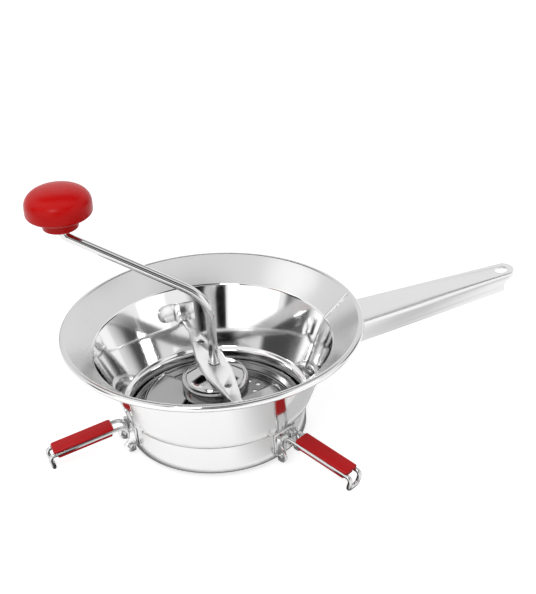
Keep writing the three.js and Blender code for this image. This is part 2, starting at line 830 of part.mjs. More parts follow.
// Holds the blade on the rod, inside the boss.
function makeNut() {
  const high = bladeBossTop - bladeSheet - seat;
  const low = high - nutHeight;
  const bore = solid(post(rodDiameter / 2 + seat, low - overrun, high + overrun, 2 * rodSides));
  return surface(solid(post(nutDiameter / 2, low, high, nutSides)).subtract(bore));
}

// Spring, cover and spacer

const coverTop = bridgeTop - bridgeFlange - seat;
const springLow = bladeBossTop + seat + springWire / 2;
const springHigh = coverTop - coverSheet - seat - springWire / 2;
const springEndRatio = 0.5;     // how much closer the end coils lie than the middle ones

// Points and directions of the wound wire; both ends run straight on for one wire's width.
function springSamples() {
  const radius = springDiameter / 2;
  const steps = springCoils * springStepsPerCoil;
  const turns = fullTurn * springCoils;
  const meanRise = (springHigh - springLow) / turns;
  const endRise = springWire * meanRise * springEndRatio / radius;
  const height = springHigh - springLow - 2 * endRise;
  const samples = [];
  const tangents = [];
  for (let i = 0; i <= steps; i += 1) {
    const share = i / steps;
    const angle = turns * share;
    const ease = share - springEndRatio * Math.sin(fullTurn * share) / fullTurn;
    const rise = height / turns * (1 - springEndRatio * Math.cos(fullTurn * share));
    samples.push(new THREE.Vector3(
      radius * Math.cos(angle), radius * Math.sin(angle), springLow + endRise + height * ease));
    tangents.push(new THREE.Vector3(-radius * Math.sin(angle), radius * Math.cos(angle), rise).normalize());
  }
  samples.unshift(samples[0].clone().addScaledVector(tangents[0], -springWire));
  tangents.unshift(tangents[0].clone());
  samples.push(samples[steps + 1].clone().addScaledVector(tangents[steps + 1], springWire));
  tangents.push(tangents[steps + 1].clone());
  return { samples, tangents };
}

function makeSpring() {
  const { samples, tangents } = springSamples();
  const geometry = roundBar(new SampledPath(samples, tangents), springWire, springWireSides);
  console.log(`spring: least gap between its coils ${coilGap(samples, geometry).toFixed(2)}`);
  return geometry;
}

// Least distance between points of the skin that belong to different coils.
function coilGap(samples, geometry) {
  const position = geometry.attributes.position;
  const owners = [];
  const point = new THREE.Vector3();
  for (let i = 0; i < position.count; i += 1) {
    point.fromBufferAttribute(position, i);
    let nearest = 0;
    samples.forEach((sample, j) => {
      if (sample.distanceTo(point) < samples[nearest].distanceTo(point)) nearest = j;
    });
    owners.push({ point: point.clone(), step: nearest });
  }
  let least = Infinity;
  for (const a of owners) {
    for (const b of owners) {
      const apart = b.step - a.step;
      if (apart > springStepsPerCoil / 2) least = Math.min(least, a.point.distanceTo(b.point));
    }
  }
  return least;
}

function makeCover() {
  const half = coverSheet / 2;
  const wall = coverRadius - half;
  const crown = coverTop - half;
  const low = coverTop - coverHeight;
  const shoulder = arcPoints(
    [wall - coverCorner, low + coverCorner], coverCorner, 0, halfTurn / 4, 3);
  const path = [[wall, low], ...shoulder, [coverCrownRadius, crown], [rodDiameter / 2 + running, crown]];
  return turned(sheetOutline(path, coverSheet), coverSides);
}

function makeSpacer() {
  return ring(rodDiameter / 2 + running, spacerRadius, coverTop + seat, bridgeUnderside - seat, coverSides);
}

// Feet, drawn with X outwards, then turned to their bearings

const bracketFace = lowerRadius + seat + bracketSheet;
const pivotReach = bracketFace + pivotStandoff;
const pivotHeight = bowlBase + pivotLift;
const bracketTop = bowlBase + shoulderLift - bracketDrop;
const gripStart = pivotReach + gripRun;
const gripTop = pivotHeight + gripLift;
const grooveDrop = gripTopFlange + (gripHeight - gripTopFlange - gripLowFlange) / 2;
const gripSlope = Math.tan(degrees(gripTiltDegrees));

// Height of the wires' middle line along the grip.
function grooveHeight(x) {
  return gripTop - grooveDrop / Math.cos(degrees(gripTiltDegrees)) - (x - gripStart) * gripSlope;
}

function makeFootWire() {
  const leg = bracketFace + stopGap + wireDiameter / 2;
  const hook = gripStart + gripLength * Math.cos(degrees(gripTiltDegrees)) + hookRun;
  const half = [
    [pivotReach, earSpacing / 2 + bracketSheet / 2 + pinOverhang, pivotHeight],
    [pivotReach, wireSpacing / 2, pivotHeight],
    [leg, wireSpacing / 2, grooveHeight(leg)],
    [hook, wireSpacing / 2, grooveHeight(hook)],
    [hook - hookReturn, wireSpacing / 2, wireDiameter / 2],
  ];
  const otherHalf = half.map(([x, y, z]) => [x, -y, z]).reverse();
  const corners = [...half, ...otherHalf].map(([x, y, z]) => new THREE.Vector3(x, y, z));
  const bends = [wireBend, wireArch, wireBend, wireBend];
  const path = bentPath(corners, [...bends, ...bends.toReversed()], wireBendSteps);
  return roundBar(path, wireDiameter, wireSides);
}

// Outline of a bar seen from above, with rounded corners, drawn in by an inset.
function roundedPlan(length, width, radius, inset) {
  const corner = radius - inset;
  const [x, y] = [length / 2 - inset - corner, width / 2 - inset - corner];
  const centres = [[x, y], [-x, y], [-x, -y], [x, -y]];
  return centres.flatMap((centre, i) => arcPoints(centre, corner, halfTurn / 2 * i, halfTurn / 2, 2));
}

// A flat bar with rounded corners; its upper edge may be eased.
function slab(length, width, low, high, easing) {
  const sections = [
    [low, 0], [high - easing, 0], [high, easing],
  ].map(([height, inset]) => ({ height, outline: roundedPlan(length, width, gripEndRound, inset) }));
  return solid(loft(sections.map(({ outline }) => outline), (i, [x, y]) => [x, y, sections[i].height]));
}

// A moulded sleeve, H in section: the wires lie in its side grooves.
function makeGrip() {
  const webWidth = wireSpacing - wireDiameter - 2 * seat;
  const lowLength = gripLength - 2 * gripLowSetback;
  const flangeTop = gripLowFlange - gripHeight;
  const sleeve = slab(gripLength, gripWidth, -gripTopFlange, 0, gripCorner)
    .add(slab(lowLength, webWidth, -gripHeight + gripLowFlange / 2, -gripTopFlange / 2, seat))
    .add(slab(lowLength, gripLowWidth, -gripHeight, flangeTop, seat));
  const geometry = surface(sleeve);
  geometry.translate(gripLength / 2, 0, 0);
  geometry.rotateY(degrees(gripTiltDegrees));
  geometry.translate(gripStart, 0, gripTop);
  return geometry;
}

// A strip spot-welded to the bowl, with two ears for the ends of the wire.
function makeBracket() {
  const low = bracketTop - bracketHeight;
  const wall = lowerRadius + seat + bracketSheet / 2;
  const sweep = bracketWidth / wall;
  const stations = Array.from({ length: bracketSteps + 1 }, (_, i) => ({
    angle: sweep * (i / bracketSteps - 1 / 2), gap: seat, low, high: bracketTop,
  }));
  let bracket = solid(wallStrip(stations, () => lowerRadius, bracketSheet, 1));
  for (const side of [-1, 1]) {
    const ear = upright(earShape(low), bracketSheet, earCurveSteps);
    ear.translate(0, side * earSpacing / 2, 0);
    bracket = bracket.add(solid(ear));
  }
  const bore = new THREE.CylinderGeometry(
    wireDiameter / 2 + running, wireDiameter / 2 + running, earSpacing + 2 * overrun, 2 * wireSides);
  bore.translate(pivotReach, 0, pivotHeight);
  return surface(bracket.subtract(solid(bore)));
}

// Narrow at the top, then curving out to a round end about the pivot. Its inner edge is sunk into
// the curved strip.
function earShape(low) {
  const edge = Math.sqrt((lowerRadius + seat + bracketSheet / 2) ** 2 - (earSpacing / 2) ** 2);
  const high = bracketTop - earNeck;
  const lowEnd = Math.acos((edge - pivotReach) / earRadius);
  const shape = new THREE.Shape();
  shape.moveTo(edge, low);
  shape.lineTo(edge, high);
  shape.lineTo(bracketFace + earNeck, high);
  shape.quadraticCurveTo(
    bracketFace + earNeck, pivotHeight + earRadius, pivotReach + earRadius * Math.SQRT1_2,
    pivotHeight + earRadius * Math.SQRT1_2);
  shape.absarc(pivotReach, pivotHeight, earRadius, halfTurn / 4, -lowEnd, true);
  shape.closePath();
  return shape;
}

// Assembly

const model = new THREE.Group();
model.name = 'food_mill';

function addPart(name, geometry, colour, { bearing = 0, metalness = 1, roughness = 0.3 } = {}) {
  const placed = geometry.clone();
  placed.rotateZ(bearing);
  const material = new THREE.MeshStandardMaterial({ color: colour, metalness, roughness });
  const mesh = new THREE.Mesh(placed, material);
  mesh.name = name;
  model.add(mesh);
}

const plastic = { metalness: 0, roughness: 0.35 };
const crankBearing = degrees(crankBearingDegrees);
const quarterTurn = halfTurn / 2;

addPart('bowl', makeBowl(), steelColour);
addPart('handle', makeHandle(), satinColour);
addPart('clip_back', makeClip(), steelColour, { bearing: quarterTurn });
addPart('clip_front', makeClip(), steelColour, { bearing: -quarterTurn });
addPart('bridge', makeBridge(), satinColour);
addPart('disc', makeDisc(), steelColour);
addPart('crank_rod', makeRod(), steelColour, { bearing: crankBearing });
addPart('blade', makeBlade(), steelColour, { bearing: crankBearing });
addPart('blade_nut', makeNut(), steelColour, { bearing: crankBearing });
addPart('spring', makeSpring(), wireColour);
addPart('spring_cover', makeCover(), steelColour);
addPart('cover_spacer', makeSpacer(), satinColour);

addPart('knob', makeKnob().translate(crankReach, 0, 0), knobColour, { bearing: crankBearing, ...plastic });

const footBearings = [['left', leftFootDegrees], ['right', rightFootDegrees], ['back', backFootDegrees]];
for (const [side, bearingDegrees] of footBearings) {
  const bearing = degrees(bearingDegrees);
  addPart(`foot_bracket_${side}`, makeBracket(), satinColour, { bearing });
  addPart(`foot_wire_${side}`, makeFootWire(), wireColour, { bearing });
  addPart(`foot_grip_${side}`, makeGrip(), gripColour, { bearing, ...plastic });
}

// The origin goes under the middle of the whole part.
const bounds = new THREE.Box3().setFromObject(model);
const middle = bounds.getCenter(new THREE.Vector3());
for (const mesh of model.children) {
  mesh.geometry.translate(-middle.x, -middle.y, -bounds.min.z);
}

export default model;
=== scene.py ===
# %% [markdown]
# # A hand-cranked food mill
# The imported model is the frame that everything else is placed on. Sizes below are in millimetres,
# as on a workshop drawing, and are turned to metres with one scale value. The crank's axis stands
# in the middle of the bowl, so its place is read from the frame once and used for every piece.
# %% Load the frame
import json
from math import asin, atan2, cos, degrees, hypot, pi, radians, sin, tan

import bpy
from mathutils import Matrix, Quaternion, Vector


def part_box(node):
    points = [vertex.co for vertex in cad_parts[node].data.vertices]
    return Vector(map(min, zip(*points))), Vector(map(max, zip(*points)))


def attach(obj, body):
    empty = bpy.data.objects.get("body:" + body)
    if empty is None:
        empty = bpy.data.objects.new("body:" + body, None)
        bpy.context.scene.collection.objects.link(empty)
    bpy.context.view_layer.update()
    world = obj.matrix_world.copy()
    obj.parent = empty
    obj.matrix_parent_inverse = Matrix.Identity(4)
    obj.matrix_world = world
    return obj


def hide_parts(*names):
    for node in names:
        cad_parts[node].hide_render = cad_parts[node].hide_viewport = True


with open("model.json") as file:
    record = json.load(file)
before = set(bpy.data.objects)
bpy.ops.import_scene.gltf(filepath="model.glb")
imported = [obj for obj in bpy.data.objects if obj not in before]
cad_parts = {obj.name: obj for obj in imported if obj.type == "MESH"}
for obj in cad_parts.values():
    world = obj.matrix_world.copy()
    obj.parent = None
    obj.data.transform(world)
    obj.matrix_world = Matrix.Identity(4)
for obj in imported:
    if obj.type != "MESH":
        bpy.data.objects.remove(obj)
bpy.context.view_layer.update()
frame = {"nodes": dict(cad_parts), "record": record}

MM = 0.001
CRANK_JOINT_HEIGHT = 40         # the joint's own point stands this far over the axis's foot
joints = {joint["name"]: joint for joint in frame["record"]["behaviour"]["joints"]}
AXIS = Vector(joints["crank_turn"]["pos_m"]) - Vector((0, 0, CRANK_JOINT_HEIGHT * MM))
print("crank axis at", [round(value / MM, 3) for value in AXIS], "mm")


def place(x, y, z):
    """A point in millimetres from the crank's axis, as metres in the frame."""
    return AXIS + Vector((x, y, z)) * MM


# %% [markdown]
# ## Camera
# The photograph was matched with a long lens from a little above, with the camera held slightly
# askew. A camera looks along its own -Z, so it is first aimed at a point and then rolled about
# its line of sight. The lens is a focal length in picture points, turned to millimetres on a
# sensor of 36 mm for the long side of the picture.
# %% Camera
SENSOR, FOCAL_POINTS, PICTURE_HEIGHT = 36, 1500, 594
CAMERA_AT, LOOKS_AT, CAMERA_ROLL = (-270.8, -981.6, 691.9), (43.5, -14.1, 119.5), -3.07
camera_data = bpy.data.cameras.new("camera")
camera_data.lens = FOCAL_POINTS * SENSOR / PICTURE_HEIGHT
camera_data.sensor_width = SENSOR
camera = bpy.data.objects.new("camera", camera_data)
scene = bpy.context.scene
scene.collection.objects.link(camera)
scene.camera = camera
camera.location = place(*CAMERA_AT)
aim = place(*LOOKS_AT) - camera.location
camera.rotation_mode = "QUATERNION"
camera.rotation_quaternion = (aim.to_track_quat("-Z", "Y")
                              @ Quaternion((0, 0, 1), radians(CAMERA_ROLL)))
print("camera", round(aim.length, 3), "m from what it looks at, lens",
      round(camera_data.lens, 1), "mm")


# %% [markdown]
# ## Finishes
# Each finish starts from its real material. Colours are the sRGB values one would pick on screen,
# and Blender's shaders want linear light, so one function converts them. A second small function
# adds a node with its settings and links, which keeps the node trees short to read.
# %% Helpers for finishes
def linear(hex_colour):
    """An sRGB colour such as #C81A18 as linear red, green, blue and alpha."""
    channels = [int(hex_colour[i:i + 2], 16) / 255 for i in (1, 3, 5)]
    return [c / 12.92 if c <= 0.04045 else ((c + 0.055) / 1.055) ** 2.4 for c in channels] + [1.0]


def link(tree, source, node, socket):
    """Links a node's first output, or the output named in a pair, to a socket."""
    output = source[0].outputs[source[1]] if isinstance(source, tuple) else source.outputs[0]
    tree.links.new(output, node.inputs[socket])


def add_node(tree, kind, inputs=None, **settings):
    """Adds a node. An input is a number or colour, a node, or a node and an output's name."""
    node = tree.nodes.new(kind)
    for name, value in settings.items():
        setattr(node, name, value)
    for socket, value in (inputs or {}).items():
        linked = isinstance(value, bpy.types.Node) or (
            isinstance(value, tuple) and isinstance(value[0], bpy.types.Node))
        if linked:
            link(tree, value, node, socket)
        else:
            node.inputs[socket].default_value = value
    return node


def new_material(name):
    """A new material with its tree and its Principled shader."""
    material = bpy.data.materials.new(name)
    material.use_nodes = True
    tree = material.node_tree
    return material, tree, tree.nodes["Principled BSDF"]


def surface_output(tree):
    return next(node for node in tree.nodes if node.type == "OUTPUT_MATERIAL")


print("mid grey #808080 is", round(linear("#808080")[0], 3), "in linear light")


# %% [markdown]
# ### Stainless steel sheet
# The bowl is spun on a lathe, then polished, which leaves hair-thin rings about the axis. Rings
# are a pattern of radius and height only, so noise is read from those two. Strip is brushed along
# its length instead, and its noise is stretched fifty times along X. A photograph of real
# polishing lines would do as well, but a pattern that is worked out has no edge and no grid. Real
# lines are 0.05 mm wide; they are drawn at about half a millimetre, the finest that shows here.
# %% Polishing lines
def rings_about_axis(tree, spacing):
    """Noise that depends on the distance from the crank's axis and on height, spacing in mm."""
    coordinates = add_node(tree, "ShaderNodeTexCoord")
    centred = add_node(tree, "ShaderNodeMapping", {
        "Vector": (coordinates, "Object"), "Location": -AXIS})
    parts = add_node(tree, "ShaderNodeSeparateXYZ", {0: centred})
    flat = add_node(tree, "ShaderNodeCombineXYZ", {0: (parts, "X"), 1: (parts, "Y")})
    radius = add_node(tree, "ShaderNodeVectorMath", {0: flat}, operation="LENGTH")
    rings = add_node(tree, "ShaderNodeCombineXYZ", {0: (radius, "Value"), 1: (parts, "Z")})
    return add_node(tree, "ShaderNodeTexNoise", {
        "Vector": rings, "Scale": 1 / (spacing * MM), "Detail": 3.0, "Roughness": 0.6})


def brushed_along(tree, spacing):
    """Noise drawn out along X, the handle's length, spacing in mm."""
    coordinates = add_node(tree, "ShaderNodeTexCoord")
    stretched = add_node(tree, "ShaderNodeMapping", {
        "Vector": (coordinates, "Object"), "Scale": (0.02, 1.0, 1.0)})
    return add_node(tree, "ShaderNodeTexNoise", {
        "Vector": stretched, "Scale": 1 / (spacing * MM), "Detail": 3.0, "Roughness": 0.6})


RING_SPACING, BRUSH_SPACING = 0.6, 0.5
print("rings", RING_SPACING, "mm apart, brush marks", BRUSH_SPACING, "mm apart")

# %% [markdown]
# ### One steel in many grades
# All sheet is the same metal, and what differs is how well it is polished. The darker greys of the
# disc, the blade and the cover are also painted shade for their place deep in the bowl. The base
# colour is how much light comes back, roughness is how sharp a reflection is, and both wander a
# little with the polishing lines and with hand-sized smears, as on a pan that is in use. A metal has
# no colour of its own under its shine, so metallic is 1 and the index of refraction stays as it is.
# %% Steel
SMEARS_PER_METRE = 28.0         # one smear is about 36 mm wide


def steel(name, colour, roughness, spread, depth, spacing=RING_SPACING, lines=rings_about_axis):
    """Polished sheet. Roughness wanders by the spread, and the lines are depth mm deep."""
    material, tree, surface = new_material(name)
    grain = lines(tree, spacing)
    coordinates = add_node(tree, "ShaderNodeTexCoord")
    smear = add_node(tree, "ShaderNodeTexNoise", {
        "Vector": (coordinates, "Object"), "Scale": SMEARS_PER_METRE, "Detail": 4.0,
        "Roughness": 0.55})
    worn = add_node(tree, "ShaderNodeMath", {0: grain, 1: 0.6, 2: smear},
                    operation="MULTIPLY_ADD")
    rough = add_node(tree, "ShaderNodeMapRange", {
        "Value": worn, "From Min": 0.5, "From Max": 1.1,
        "To Min": max(roughness - spread, 0.02), "To Max": roughness + spread})
    link(tree, rough, surface, "Roughness")
    dents = add_node(tree, "ShaderNodeBump", {
        "Height": grain, "Distance": depth * MM, "Strength": 1.0})
    link(tree, dents, surface, "Normal")
    surface.inputs["Base Color"].default_value = linear(colour)
    surface.inputs["Metallic"].default_value = 1.0
    return material


# Inside of the bowl: clear pictures of the room in hard blacks and whites.
mirror_steel = steel("mirror polished stainless steel", "#EAEAEA", 0.08, 0.03, 0.002)
# The lip: a broad even sheen with no picture in it.
satin_steel = steel("satin polished stainless steel", "#D6D6D6", 0.24, 0.05, 0.003)
# Outside of the cone: a mirror with soft edges, where the red grips are still seen.
outside_steel = steel("polished stainless steel outside", "#E4E4E4", 0.11, 0.04, 0.003)
# The disc: bare pierced sheet, worn dull, and its dark grey is also painted shade deep in the bowl.
shaded_disc_steel = steel("dull pierced sheet steel with painted shade", "#8C8C8C", 0.2, 0.05, 0.002)
# The blade: polished once, then scratched by use, and darker than the wall by painted shade.
shaded_blade_steel = steel("polished blade steel with painted shade", "#A6A6A6", 0.12, 0.04, 0.002)
# The spring's cover: small and deep drawn, sharp reflections in a grey that is painted shade.
shaded_cover_steel = steel("polished cover steel with painted shade", "#C0C0C0", 0.08, 0.03, 0.002)
# The handle: a soft shine with fine streaks along it.
brushed_steel = steel("brushed stainless strip", "#E0E0E0", 0.2, 0.04, 0.001,
                      BRUSH_SPACING, brushed_along)
# Clips and foot brackets: bright strip that keeps soft highlights on its bends.
strip_steel = steel("bright stainless strip", "#EEEEEE", 0.2, 0.04, 0.001,
                    BRUSH_SPACING, brushed_along)
# The bridge: the palest piece in the bowl, almost white with a silky sheen.
bridge_steel = steel("satin bridge strip", "#F6F6F6", 0.3, 0.05, 0.001,
                     BRUSH_SPACING, brushed_along)
print("steel finishes:", mirror_steel.name, satin_steel.name, outside_steel.name)

# %% [markdown]
# ### Bright rod and wire
# Drawn rod is nickel plated and barrel polished, so it is brighter than sheet and has no grain,
# only a soft unevenness, about 6 mm long, that breaks its long highlights.
# %% Plated rod
ROD_WAVE = 6


def plated(name, colour, roughness, depth):
    """Plated rod whose surface waves by depth mm."""
    material, tree, surface = new_material(name)
    coordinates = add_node(tree, "ShaderNodeTexCoord")
    uneven = add_node(tree, "ShaderNodeTexNoise", {
        "Vector": (coordinates, "Object"), "Scale": 1 / (ROD_WAVE * MM), "Detail": 2.0})
    rough = add_node(tree, "ShaderNodeMapRange", {
        "Value": uneven, "To Min": roughness * 0.6, "To Max": roughness * 1.5})
    link(tree, rough, surface, "Roughness")
    dents = add_node(tree, "ShaderNodeBump", {
        "Height": uneven, "Distance": depth * MM, "Strength": 1.0})
    link(tree, dents, surface, "Normal")
    surface.inputs["Base Color"].default_value = linear(colour)
    surface.inputs["Metallic"].default_value = 1.0
    return material


# The crank, the nut and the spacer: long clean lines of light and dark.
rod_steel = plated("plated rod", "#D8D8D8", 0.09, 0.006)
# Feet and spring: thinner and a little greyer, with highlights that flicker.
wire_steel = plated("plated spring wire", "#D0D0D0", 0.11, 0.006)
print("plated finishes:", rod_steel.name, wire_steel.name)

# %% [markdown]
# ### Red plastics
# The knob is moulded in a glossy plastic and the grips in a softer one. Moulded plastic is never
# quite even: its gloss drifts over a centimetre or so, and a fine texture from the tool, about
# 0.4 mm, softens the light. It is a plain dielectric with an index of refraction of about 1.5.
# Strong red plastic in a white room soon looks milky, so its specular level is turned down.
# %% Plastics
GLOSS_DRIFT = 14


def moulded(name, colour, roughness, grain, depth, gloss):
    """Moulded plastic with a tool texture of grain mm that is depth mm deep."""
    material, tree, surface = new_material(name)
    coordinates = add_node(tree, "ShaderNodeTexCoord")
    drift = add_node(tree, "ShaderNodeTexNoise", {
        "Vector": (coordinates, "Object"), "Scale": 1 / (GLOSS_DRIFT * MM), "Detail": 2.0})
    rough = add_node(tree, "ShaderNodeMapRange", {
        "Value": drift, "From Min": 0.3, "From Max": 0.7,
        "To Min": roughness - 0.04, "To Max": roughness + 0.04})
    link(tree, rough, surface, "Roughness")
    fuller, paler = linear(colour), [c * 0.94 for c in linear(colour)[:3]] + [1]
    tint = add_node(tree, "ShaderNodeMix", {"Factor": drift, 6: fuller, 7: paler},
                    data_type="RGBA")
    link(tree, (tint, 2), surface, "Base Color")
    texture = add_node(tree, "ShaderNodeTexNoise", {
        "Vector": (coordinates, "Object"), "Scale": 1 / (grain * MM), "Detail": 1.0})
    dents = add_node(tree, "ShaderNodeBump", {
        "Height": texture, "Distance": depth * MM, "Strength": 1.0})
    link(tree, dents, surface, "Normal")
    surface.inputs["IOR"].default_value = 1.5
    surface.inputs["Specular IOR Level"].default_value = gloss
    return material


# The knob: deep red with a soft bloom of light on its shoulder.
knob_plastic = moulded("glossy red moulded plastic", "#C80404", 0.3, 0.4, 0.004, 0.18)
# The grips: a drier, slightly darker red that shows no reflections.
grip_plastic = moulded("red moulded grip plastic", "#C0161A", 0.42, 0.5, 0.01, 0.18)
print("plastics:", knob_plastic.name, grip_plastic.name)


# %% [markdown]
# ## The workbench
# Almost every piece of a food mill is either spun on a lathe from sheet, or bent from rod. Both can
# be modelled as they are made. A single vertex is extruded along half a cross-section and spun a
# full turn about the crank's axis, and a circle is extruded along a straight run and spun through
# each bend. A plane merged to its middle gives that single vertex. Operators act on whatever is
# selected, so everything is deselected before each step.
# %% Selecting, changing and finishing a piece
SAME_POINT = 0.004              # vertices closer than this are merged


def clear_selection():
    if bpy.context.object and bpy.context.object.mode != "OBJECT":
        bpy.ops.object.mode_set(mode="OBJECT")
    bpy.ops.object.select_all(action="DESELECT")


def make_active(piece):
    clear_selection()
    bpy.context.view_layer.objects.active = piece
    piece.select_set(True)


def merge_and_face_outwards():
    """Closes seams and poles and turns the faces outwards, in edit mode."""
    bpy.ops.mesh.select_all(action="SELECT")
    bpy.ops.mesh.remove_doubles(threshold=SAME_POINT * MM)
    bpy.ops.mesh.normals_make_consistent(inside=False)


def apply_modifier(piece, kind, **settings):
    make_active(piece)
    modifier = piece.modifiers.new(kind.lower(), kind)
    for name, value in settings.items():
        setattr(modifier, name, value)
    bpy.ops.object.modifier_apply(modifier=modifier.name)


def give_thickness(piece, sheet):
    """Solidify on both sides of the drawn middle of a sheet, with even thickness round bends."""
    apply_modifier(piece, "SOLIDIFY", thickness=sheet * MM, offset=0, use_even_offset=True)


def soften_edges(piece, width, angle=35, segments=2):
    """A small bevel on each edge that is sharper than the angle in degrees."""
    apply_modifier(piece, "BEVEL", width=width * MM, segments=segments, limit_method="ANGLE",
                   angle_limit=radians(angle), use_clamp_overlap=True, harden_normals=False)


def finish_piece(piece, body, finish, nodes=(), smooth=32):
    """Puts the piece's place into its mesh and gives it its body, finish, slot and nodes."""
    make_active(piece)
    bpy.ops.object.transform_apply(location=True, rotation=True, scale=True)
    bpy.ops.object.shade_smooth_by_angle(angle=radians(smooth))
    if finish:
        piece.data.materials.clear()
        piece.data.materials.append(finish)
    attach(piece, body)
    if nodes:
        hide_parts(*nodes)
    triangles = sum(len(face.vertices) - 2 for face in piece.data.polygons)
    print(f"{piece.name}: {triangles} triangles")
    return piece


print("vertices within", SAME_POINT, "mm are merged")


# %% [markdown]
# ### Cross-sections and lathe work
# Sheet never folds to a perfect corner, so the sharp corners of a cross-section are first eased
# with small arcs, each with its own radius. The section is the middle of the sheet, and the
# Solidify modifier then gives it its thickness, because a drawn double wall would have to be eased
# twice.
# %% Cross-sections and lathe work
def eased(points, radii, steps=5):
    """A path of 2D points whose inner corners are rounded, each with its own radius."""
    path = [Vector(points[0])]
    for i, radius in enumerate(radii, 1):
        corner = Vector(points[i])
        arrive = (corner - Vector(points[i - 1])).normalized()
        leave = (Vector(points[i + 1]) - corner).normalized()
        turn = arrive.angle(leave)
        if radius == 0 or turn < 1e-3:
            path.append(corner)
            continue
        setback = radius * tan(turn / 2)
        inward = (leave - arrive * leave.dot(arrive)).normalized()
        start = corner - arrive * setback
        for step in range(steps + 1):
            angle = turn * step / steps
            path.append(start + arrive * radius * sin(angle)
                        + inward * radius * (1 - cos(angle)))
    path.append(Vector(points[-1]))
    return path


def start_at(name, point):
    """A new piece in edit mode that is one selected vertex."""
    clear_selection()
    bpy.ops.mesh.primitive_plane_add(size=MM, location=point)
    piece = bpy.context.object
    piece.name = piece.data.name = name
    bpy.ops.object.mode_set(mode="EDIT")
    bpy.context.tool_settings.mesh_select_mode = (True, False, False)
    bpy.ops.mesh.merge(type="CENTER")
    return piece


def draw_section(name, section, centre=(0, 0)):
    """Extrudes a vertex along a section of (radius, height) in mm, drawn outwards from an axis."""
    stops = [place(centre[0] + radius, centre[1], height) for radius, height in section]
    piece = start_at(name, stops[0])
    for before, after in zip(stops, stops[1:]):
        bpy.ops.mesh.extrude_region_move(TRANSFORM_OT_translate={"value": after - before})
    return piece


def spun(name, section, sides, sheet=0, centre=(0, 0)):
    """Spins a section a full turn about an upright axis; with a sheet it has that thickness."""
    piece = draw_section(name, section, centre)
    bpy.ops.mesh.select_all(action="SELECT")
    bpy.ops.mesh.spin(steps=sides, angle=2 * pi, center=place(*centre, 0), axis=(0, 0, 1))
    merge_and_face_outwards()
    bpy.ops.object.mode_set(mode="OBJECT")
    if sheet:
        give_thickness(piece, sheet)
    return piece


print("an eased corner has", len(eased([(0, 0), (9, 0), (9, 9)], [2])) - 2, "points")


# %% [markdown]
# ### Bent rod
# A curve with a round bevel would be quicker, but its bends come out flat or pinched. A circle that
# is pushed along each straight run and spun through each bend keeps its full round section, as
# rod does in a bending tool. The same bench has a copier for what stands around the axis.
# %% Rod bending
BEND_STEP = 9                   # degrees of a bend for each ring of vertices


def bent_rod(name, diameter, corners, bends, sides=20):
    """A round rod through corners in metres, with a bend radius in mm for each inner corner."""
    clear_selection()
    along = (corners[1] - corners[0]).normalized()
    bpy.ops.mesh.primitive_circle_add(
        vertices=sides, radius=diameter / 2 * MM, fill_type="NGON", location=corners[0],
        rotation=along.to_track_quat("Z", "Y").to_euler())
    piece = bpy.context.object
    piece.name = piece.data.name = name
    bpy.ops.object.mode_set(mode="EDIT")
    bpy.ops.mesh.select_all(action="SELECT")
    here = corners[0]
    for i, bend in enumerate(bends, 1):
        arrive = (corners[i] - corners[i - 1]).normalized()
        leave = (corners[i + 1] - corners[i]).normalized()
        turn = arrive.angle(leave)
        setback = bend * MM * tan(turn / 2)
        start = corners[i] - arrive * setback
        inward = (leave - arrive * leave.dot(arrive)).normalized()
        bpy.ops.mesh.extrude_region_move(TRANSFORM_OT_translate={"value": start - here})
        bpy.ops.mesh.spin(steps=max(4, round(degrees(turn) / BEND_STEP)), angle=turn,
                          center=start + inward * bend * MM,
                          axis=leave.cross(arrive).normalized())
        here = corners[i] + leave * setback
    bpy.ops.mesh.extrude_region_move(TRANSFORM_OT_translate={"value": corners[-1] - here})
    merge_and_face_outwards()
    bpy.ops.object.mode_set(mode="OBJECT")
    return piece


def turned_copy(piece, name, angle):
    """A copy with its own mesh, turned about the crank's axis by an angle in degrees."""
    make_active(piece)
    bpy.ops.object.duplicate()
    copy = bpy.context.object
    copy.name = copy.data.name = name
    copy.matrix_world = (Matrix.Translation(AXIS) @ Matrix.Rotation(radians(angle), 4, "Z")
                         @ Matrix.Translation(-AXIS) @ copy.matrix_world)
    bpy.ops.object.transform_apply(location=True, rotation=True, scale=True)
    return copy


print("a right-angle bend has", 90 // BEND_STEP, "rings")


# %% [markdown]
# ### Cutting, joining and copying
# Holes, flats and welded-on lumps are Boolean steps between two closed pieces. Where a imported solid
# already has the right outline, a copy of it is cleaned instead of drawing it again: its
# triangles are loose, so they are merged first, and the flat ones are joined to whole faces.
# %% Cutting, joining and copying
LOOSE_POINT = 0.01              # how far apart the corners of two loose triangles may lie


def combine(piece, other, operation):
    """Boolean union or difference with another piece, which is used up."""
    make_active(piece)
    modifier = piece.modifiers.new("combine", "BOOLEAN")
    modifier.object = other
    modifier.operation = operation
    modifier.solver = "EXACT"
    bpy.ops.object.modifier_apply(modifier=modifier.name)
    bpy.data.objects.remove(other)
    return piece


def copy_of_solid(node, name, corner, flats=2):
    """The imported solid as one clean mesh: triangles merged, flats joined, corners softened."""
    source = frame["nodes"][node]
    piece = bpy.data.objects.new(name, source.data.copy())
    piece.data.name = name
    bpy.context.scene.collection.objects.link(piece)
    make_active(piece)
    bpy.ops.object.mode_set(mode="EDIT")
    bpy.ops.mesh.select_all(action="SELECT")
    bpy.ops.mesh.remove_doubles(threshold=LOOSE_POINT * MM)
    bpy.ops.mesh.dissolve_limited(angle_limit=radians(flats))
    bpy.ops.object.mode_set(mode="OBJECT")
    if corner:
        soften_edges(piece, corner, angle=40)
    return piece


print("the packed model has", len(frame["nodes"]), "nodes")

